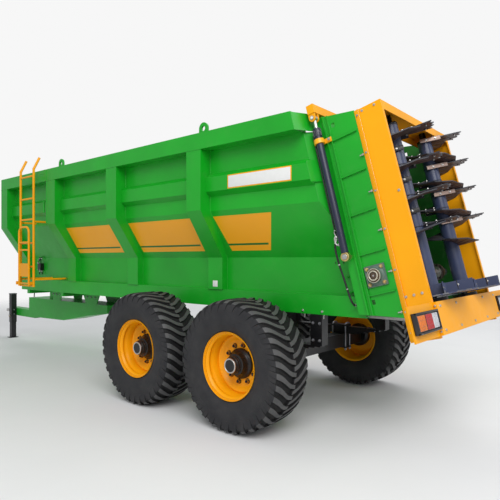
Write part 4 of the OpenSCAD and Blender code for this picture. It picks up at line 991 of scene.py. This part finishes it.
def side_trim():
    piece = Piece("side_welds", FROM_AXLE)
    for side in (1, -1):
        for x in POSTS_X:
            for edge in (x, x + POST_W):
                points = []
                for (y0, z0), (y1, z1) in zip(WALL_LINE, WALL_LINE[1:]):
                    count = max(2, int(math.hypot(y1 - y0, z1 - z0) / 0.08))
                    points += [(edge, side * (y0 + (y1 - y0) * k / count), z0 + (z1 - z0) * k / count)
                               for k in range(count)]
                points.append((edge, side * LOW_Y, CHASSIS_TOP))
                piece.tube(points, 0.0045, GREEN, 6)
            for y, z in ((POST_Y, RAIL_FOOT - 0.001), (LOW_POST_Y, CHASSIS_TOP + 0.001)):
                piece.tube([(x + POST_W * k / 6, side * y, z) for k in range(7)], 0.0045, GREEN, 6)
        # Long weld where the lower side stands on the chassis rail
        piece.tube([(-1.0 + 0.2 * k, side * (LOW_Y + 0.001), CHASSIS_TOP + 0.001) for k in range(31)], 0.004, GREEN, 6)
        piece.prism([(side * y, z) for y, z in BAND_END], 0.0046, GREEN,
                    place=Matrix.Translation((FRONT_X - 0.005, 0, 0)) @ YZ_UP_X)
        # Plugs in the lower side by the door, and bolts at the rail's rear end
        for u, w in ((0.569, 1.691), (0.492, 1.672)):
            spot = LEANING @ Vector((u, side * LOW_Y, w)) - ORIGIN
            piece.bolt(facing(spot, (0, side, 0)), 0.007, BLACK, 0, False)
        for x in (-0.377, -0.581):
            piece.bolt(facing((x, side * CHASSIS_Y, 1.058), (0, side, 0)), BIG_BOLT, STEEL, 0.004)
            piece.bolt(facing((x, side * 0.672, CHASSIS_Z), (0, 0, -1)), BIG_BOLT, STEEL, 0.03)
    piece.done("root")


side_trim()


# Side bracket and cock, seen behind the ladder


def side_bracket():
    piece = Piece("side_bracket", Matrix.Translation(at(3.768, POST_Y - 0.012, 0)))
    for radius, steps, points in (
            (0.016, 14, [(0, 0, 2.04), (0, 0, 2.3), (0, 0, 2.6), (0, 0.002, 2.78)]),
            (0.013, 12, [(0, 0, 2.7), (0.05, 0.004, 2.745), (0.16, 0.006, 2.752), (0.24, 0, 2.73)]),
            (0.012, 12, [(0, 0, 2.365), (0.05, 0, 2.372), (0.085, 0, 2.345), (0.09, 0, 2.19)])):
        piece.tube(smooth(points), radius, GREEN, steps)
    for z in (2.1, 2.55):
        piece.block((-0.03, -0.02, z), (0.002, 0.006, z + 0.04), GREEN, 0.003)
    piece.block((0.03, -0.14, 2.69), (0.19, -0.1, 2.72), BLACK, 0.006)
    piece.rod((0.05, -0.12, 2.70), (0.05, 0, 2.745), 0.009, BLACK, 10)
    piece.done("root")


side_bracket()


def cock():
    low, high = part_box("side_valve")
    piece = Piece("side_cock", Matrix.Translation(((low.x + high.x) / 2, high.y, (low.z + high.z) / 2)))
    piece.rod((0, -0.002, 0.03), (0, 0.02, 0.03), 0.016, STEEL, 20)
    piece.rod((0, 0.014, 0.03), (-0.085, 0.032, 0.075), 0.0065, BLACK, 12)
    piece.rod((-0.08, 0.031, 0.072), (-0.115, 0.038, 0.09), 0.011, BLACK)
    # Nipples with their nuts: (x and z of the start, x and z of the end)
    for x0, z0, x1, z1 in ((-0.03, 0.09, -0.03, 0.12), (0.03, 0.09, 0.03, 0.12), (-0.02, -0.09, -0.05, -0.15),
                           (0.02, -0.09, 0.05, -0.15)):
        start, end = Vector((x0, -0.03, z0)), Vector((x1, -0.03, z1))
        piece.rod(start, end, 0.0085, HOSE, 12)
        piece.rod(start, start + (end - start) * 0.4, 0.0125, STEEL, 6)
    for x in (-0.032, 0.032):
        for z in (-0.075, 0.075):
            piece.bolt(facing((x, 0, z), (0, 1, 0)), 0.006, STEEL, 0, False)
    piece.done("root")


cock()


# Running gear: spring clamps with their U-bolts, and the hangers' bolts

AXLE_HALF = 0.075
SPRING_FOOT = TYRE_R + AXLE_HALF
SPRING_TOP = SPRING_FOOT + 7 * 0.012
# A U-bolt across the spring, one half of it: (y, z)
U_BOLT = ((-0.049, 0.47), (-0.049, SPRING_TOP + 0.022), (-0.03, SPRING_TOP + 0.034), (0, SPRING_TOP + 0.037))


def spring_trim():
    piece = Piece("spring_clamps")
    for x in (0, WHEELBASE):
        for side in (1, -1):
            piece.base = Matrix.Translation(at(x, side * SPRING_Y, 0))
            for low, high in ((SPRING_TOP - 0.001, SPRING_TOP + 0.02),
                              (TYRE_R - AXLE_HALF - 0.018, TYRE_R - AXLE_HALF - 0.0005)):
                piece.block((-0.1, -0.058, low), (0.1, 0.058, high), BLACK, 0.004)
            for dx in (-0.084, 0.084):
                half = [(dx, y, z) for y, z in U_BOLT]
                piece.tube(half + [(dx, -y, z) for _, y, z in half[-2::-1]], 0.009, WORN, 10)
                for dy in (-0.049, 0.049):
                    piece.bolt(facing((dx, dy, 0.495), (0, 0, -1)), 0.015, WORN, 0.004)
            for reach in (-0.34, 0.34):
                piece.block((reach - 0.012, -0.044, SPRING_FOOT + 0.045), (reach + 0.012, 0.044, SPRING_TOP + 0.004),
                            BLACK, 0.002)
    piece.base = FROM_AXLE
    for side in (1, -1):
        for x in (-0.52, WHEELBASE / 2, WHEELBASE + 0.52):
            for z in (0.795, 0.95):
                for dx in (-0.035, 0.035):
                    piece.bolt(facing((x + dx, side * CHASSIS_Y, z), (0, side, 0)), 0.0125, WORN, 0.004)
    piece.done("root")


spring_trim()


# Drawbar: flange bolts, hanger bolts, jack pin and its ring


def drawbar_trim():
    piece = Piece("drawbar_bolts", FROM_AXLE)
    for y in (-0.062, 0.062):
        for z in (0.453, 0.547):
            piece.bolt(facing((7.11, y, z), (1, 0, 0)), 0.012, WORN, 0.006)
    for side in (1, -1):
        for x in (3.96, 5.02):
            for dx in (-0.11, 0.0, 0.11):
                piece.bolt(facing((x + dx, side * 0.2, 0.93), (0, side, 0)), 0.012, WORN, 0.005)
    low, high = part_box("jack_tube")
    piece.base = HERE
    x, y = (low.x + high.x) / 2, (low.y + high.y) / 2
    pin_z = 0.42
    piece.rod((x, low.y - 0.002, pin_z), (x, high.y + 0.03, pin_z), 0.009, ZINC)
    turns = (polar(0.02, 18 * k) for k in range(21))
    piece.tube([(x + p.x, high.y + 0.026, pin_z + 0.02 + p.y) for p in turns], 0.002, STEEL, 8, False)
    # Collar round the tube's top
    piece.block((low.x - 0.006, low.y - 0.006, high.z - 0.02), (high.x + 0.006, high.y + 0.006, high.z - 0.0005),
                BLACK, 0.003)
    for z in (0.46, 0.54):
        piece.bolt(facing((low.x, y, z), (-1, 0, 0)), 0.01, WORN)
    piece.done("root")


drawbar_trim()


# Conveyor: bolts of the slats over the two chains

SLAT_PITCH = 0.33
CHAIN_Y = 0.564


def conveyor_trim():
    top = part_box("floor_chain")[1].z
    shaft_x = (LEANING @ Vector((SHAFT_U, 0, SHAFT_W))).x
    piece = Piece("slat_bolts", Matrix.Translation((shaft_x + 0.025, 0, top)))
    count = int((at(FRONT_X - 0.17, 0, 0).x - shaft_x) / SLAT_PITCH)
    for i in range(count):
        for side in (1, -1):
            for dy in (-0.024, 0.024):
                spot = (SLAT_PITCH * (i + 0.5), side * (CHAIN_Y + dy), 0)
                piece.bolt(facing(spot, (0, 0, 1)), 0.008, WORN, 0, False)
    piece.done("root")


conveyor_trim()


# Stage, light and camera

# Where the floor starts to fade into the backdrop and where it is gone
FADE_START, FADE_END = 6.5, 15.0

# The photograph's camera, fitted to the wheels, posts, rails and rear housing
CAMERA_AT = (-2.926, 4.461, 1.529)
CAMERA_TURN = math.radians(220.3)
LENS = 35.3
SHIFT_Y = 0.0181


def stage():
    """Pale floor that fades into the backdrop away from the machine."""
    mat, shader = material("studio_floor")
    put(shader, Base_Color=ramp(noise(shader, 0.8, 5), [(0.3, 0.79), (0.7, 0.82)]), Roughness=0.9,
        Specular_IOR_Level=0.15)
    away = times(vector_math("LENGTH", place_of(shader)), 1 / FADE_END)
    fade = ramp(away, [(FADE_START / FADE_END, 0), (1.0, 1)], "EASE")
    surface(mix_shader(fade, shader.outputs["BSDF"], add(shader, "BsdfTransparent").outputs["BSDF"]))
    bpy.ops.mesh.primitive_plane_add(size=90, location=(0, 0, 0))
    floor = bpy.context.object
    floor.name = "studio_floor"
    floor.data.materials.append(mat)


def area_light(name, place, target, size, power):
    light = bpy.data.lights.new(name, "AREA")
    light.shape = "RECTANGLE"
    light.size, light.size_y = size
    light.energy = power
    lamp = bpy.data.objects.new(name, light)
    lamp.location = place
    lamp.rotation_euler = (Vector(target) - Vector(place)).to_track_quat("-Z", "Y").to_euler()
    bpy.context.scene.collection.objects.link(lamp)


def world():
    """Soft light all round, before a pale backdrop for the camera and through glass."""
    scene = bpy.context.scene
    scene.world = bpy.data.worlds.new("studio")
    scene.world.use_nodes = True
    nodes = scene.world.node_tree.nodes
    nodes.clear()
    out = nodes.new("ShaderNodeOutputWorld")
    rays = add(out, "LightPath").outputs
    fill = add(out, "Background", Color=(0.95, 0.97, 1, 1), Strength=0.54)
    backdrop = add(out, "Background", Color=(0.93, 0.93, 0.93, 1))
    seen = math_node("MAXIMUM", rays["Is Camera Ray"], rays["Is Transmission Ray"])
    put(out, Surface=mix_shader(seen, fill.outputs["Background"], backdrop.outputs["Background"]))


def camera():
    data = bpy.data.cameras.new("camera")
    data.sensor_width = 36
    data.lens = LENS
    data.shift_y = SHIFT_Y
    data.clip_start, data.clip_end = 0.05, 200
    cam = bpy.data.objects.new("camera", data)
    cam.location = at(*CAMERA_AT)
    cam.rotation_euler = (math.radians(90), 0, CAMERA_TURN)
    bpy.context.scene.collection.objects.link(cam)
    bpy.context.scene.camera = cam


stage()
world()
area_light("key", at(-5.5, 7.0, 8.5), at(1.0, 0, 1.4), (9, 6), 900)
area_light("rear_fill", at(-8.0, -3.0, 7.5), at(-1.0, 0, 1.6), (5, 5), 170)
area_light("far_fill", at(3.5, -6.5, 8.5), at(1.5, 0, 1.2), (9, 6), 340)
camera()
bpy.context.scene.view_settings.view_transform = "Standard"
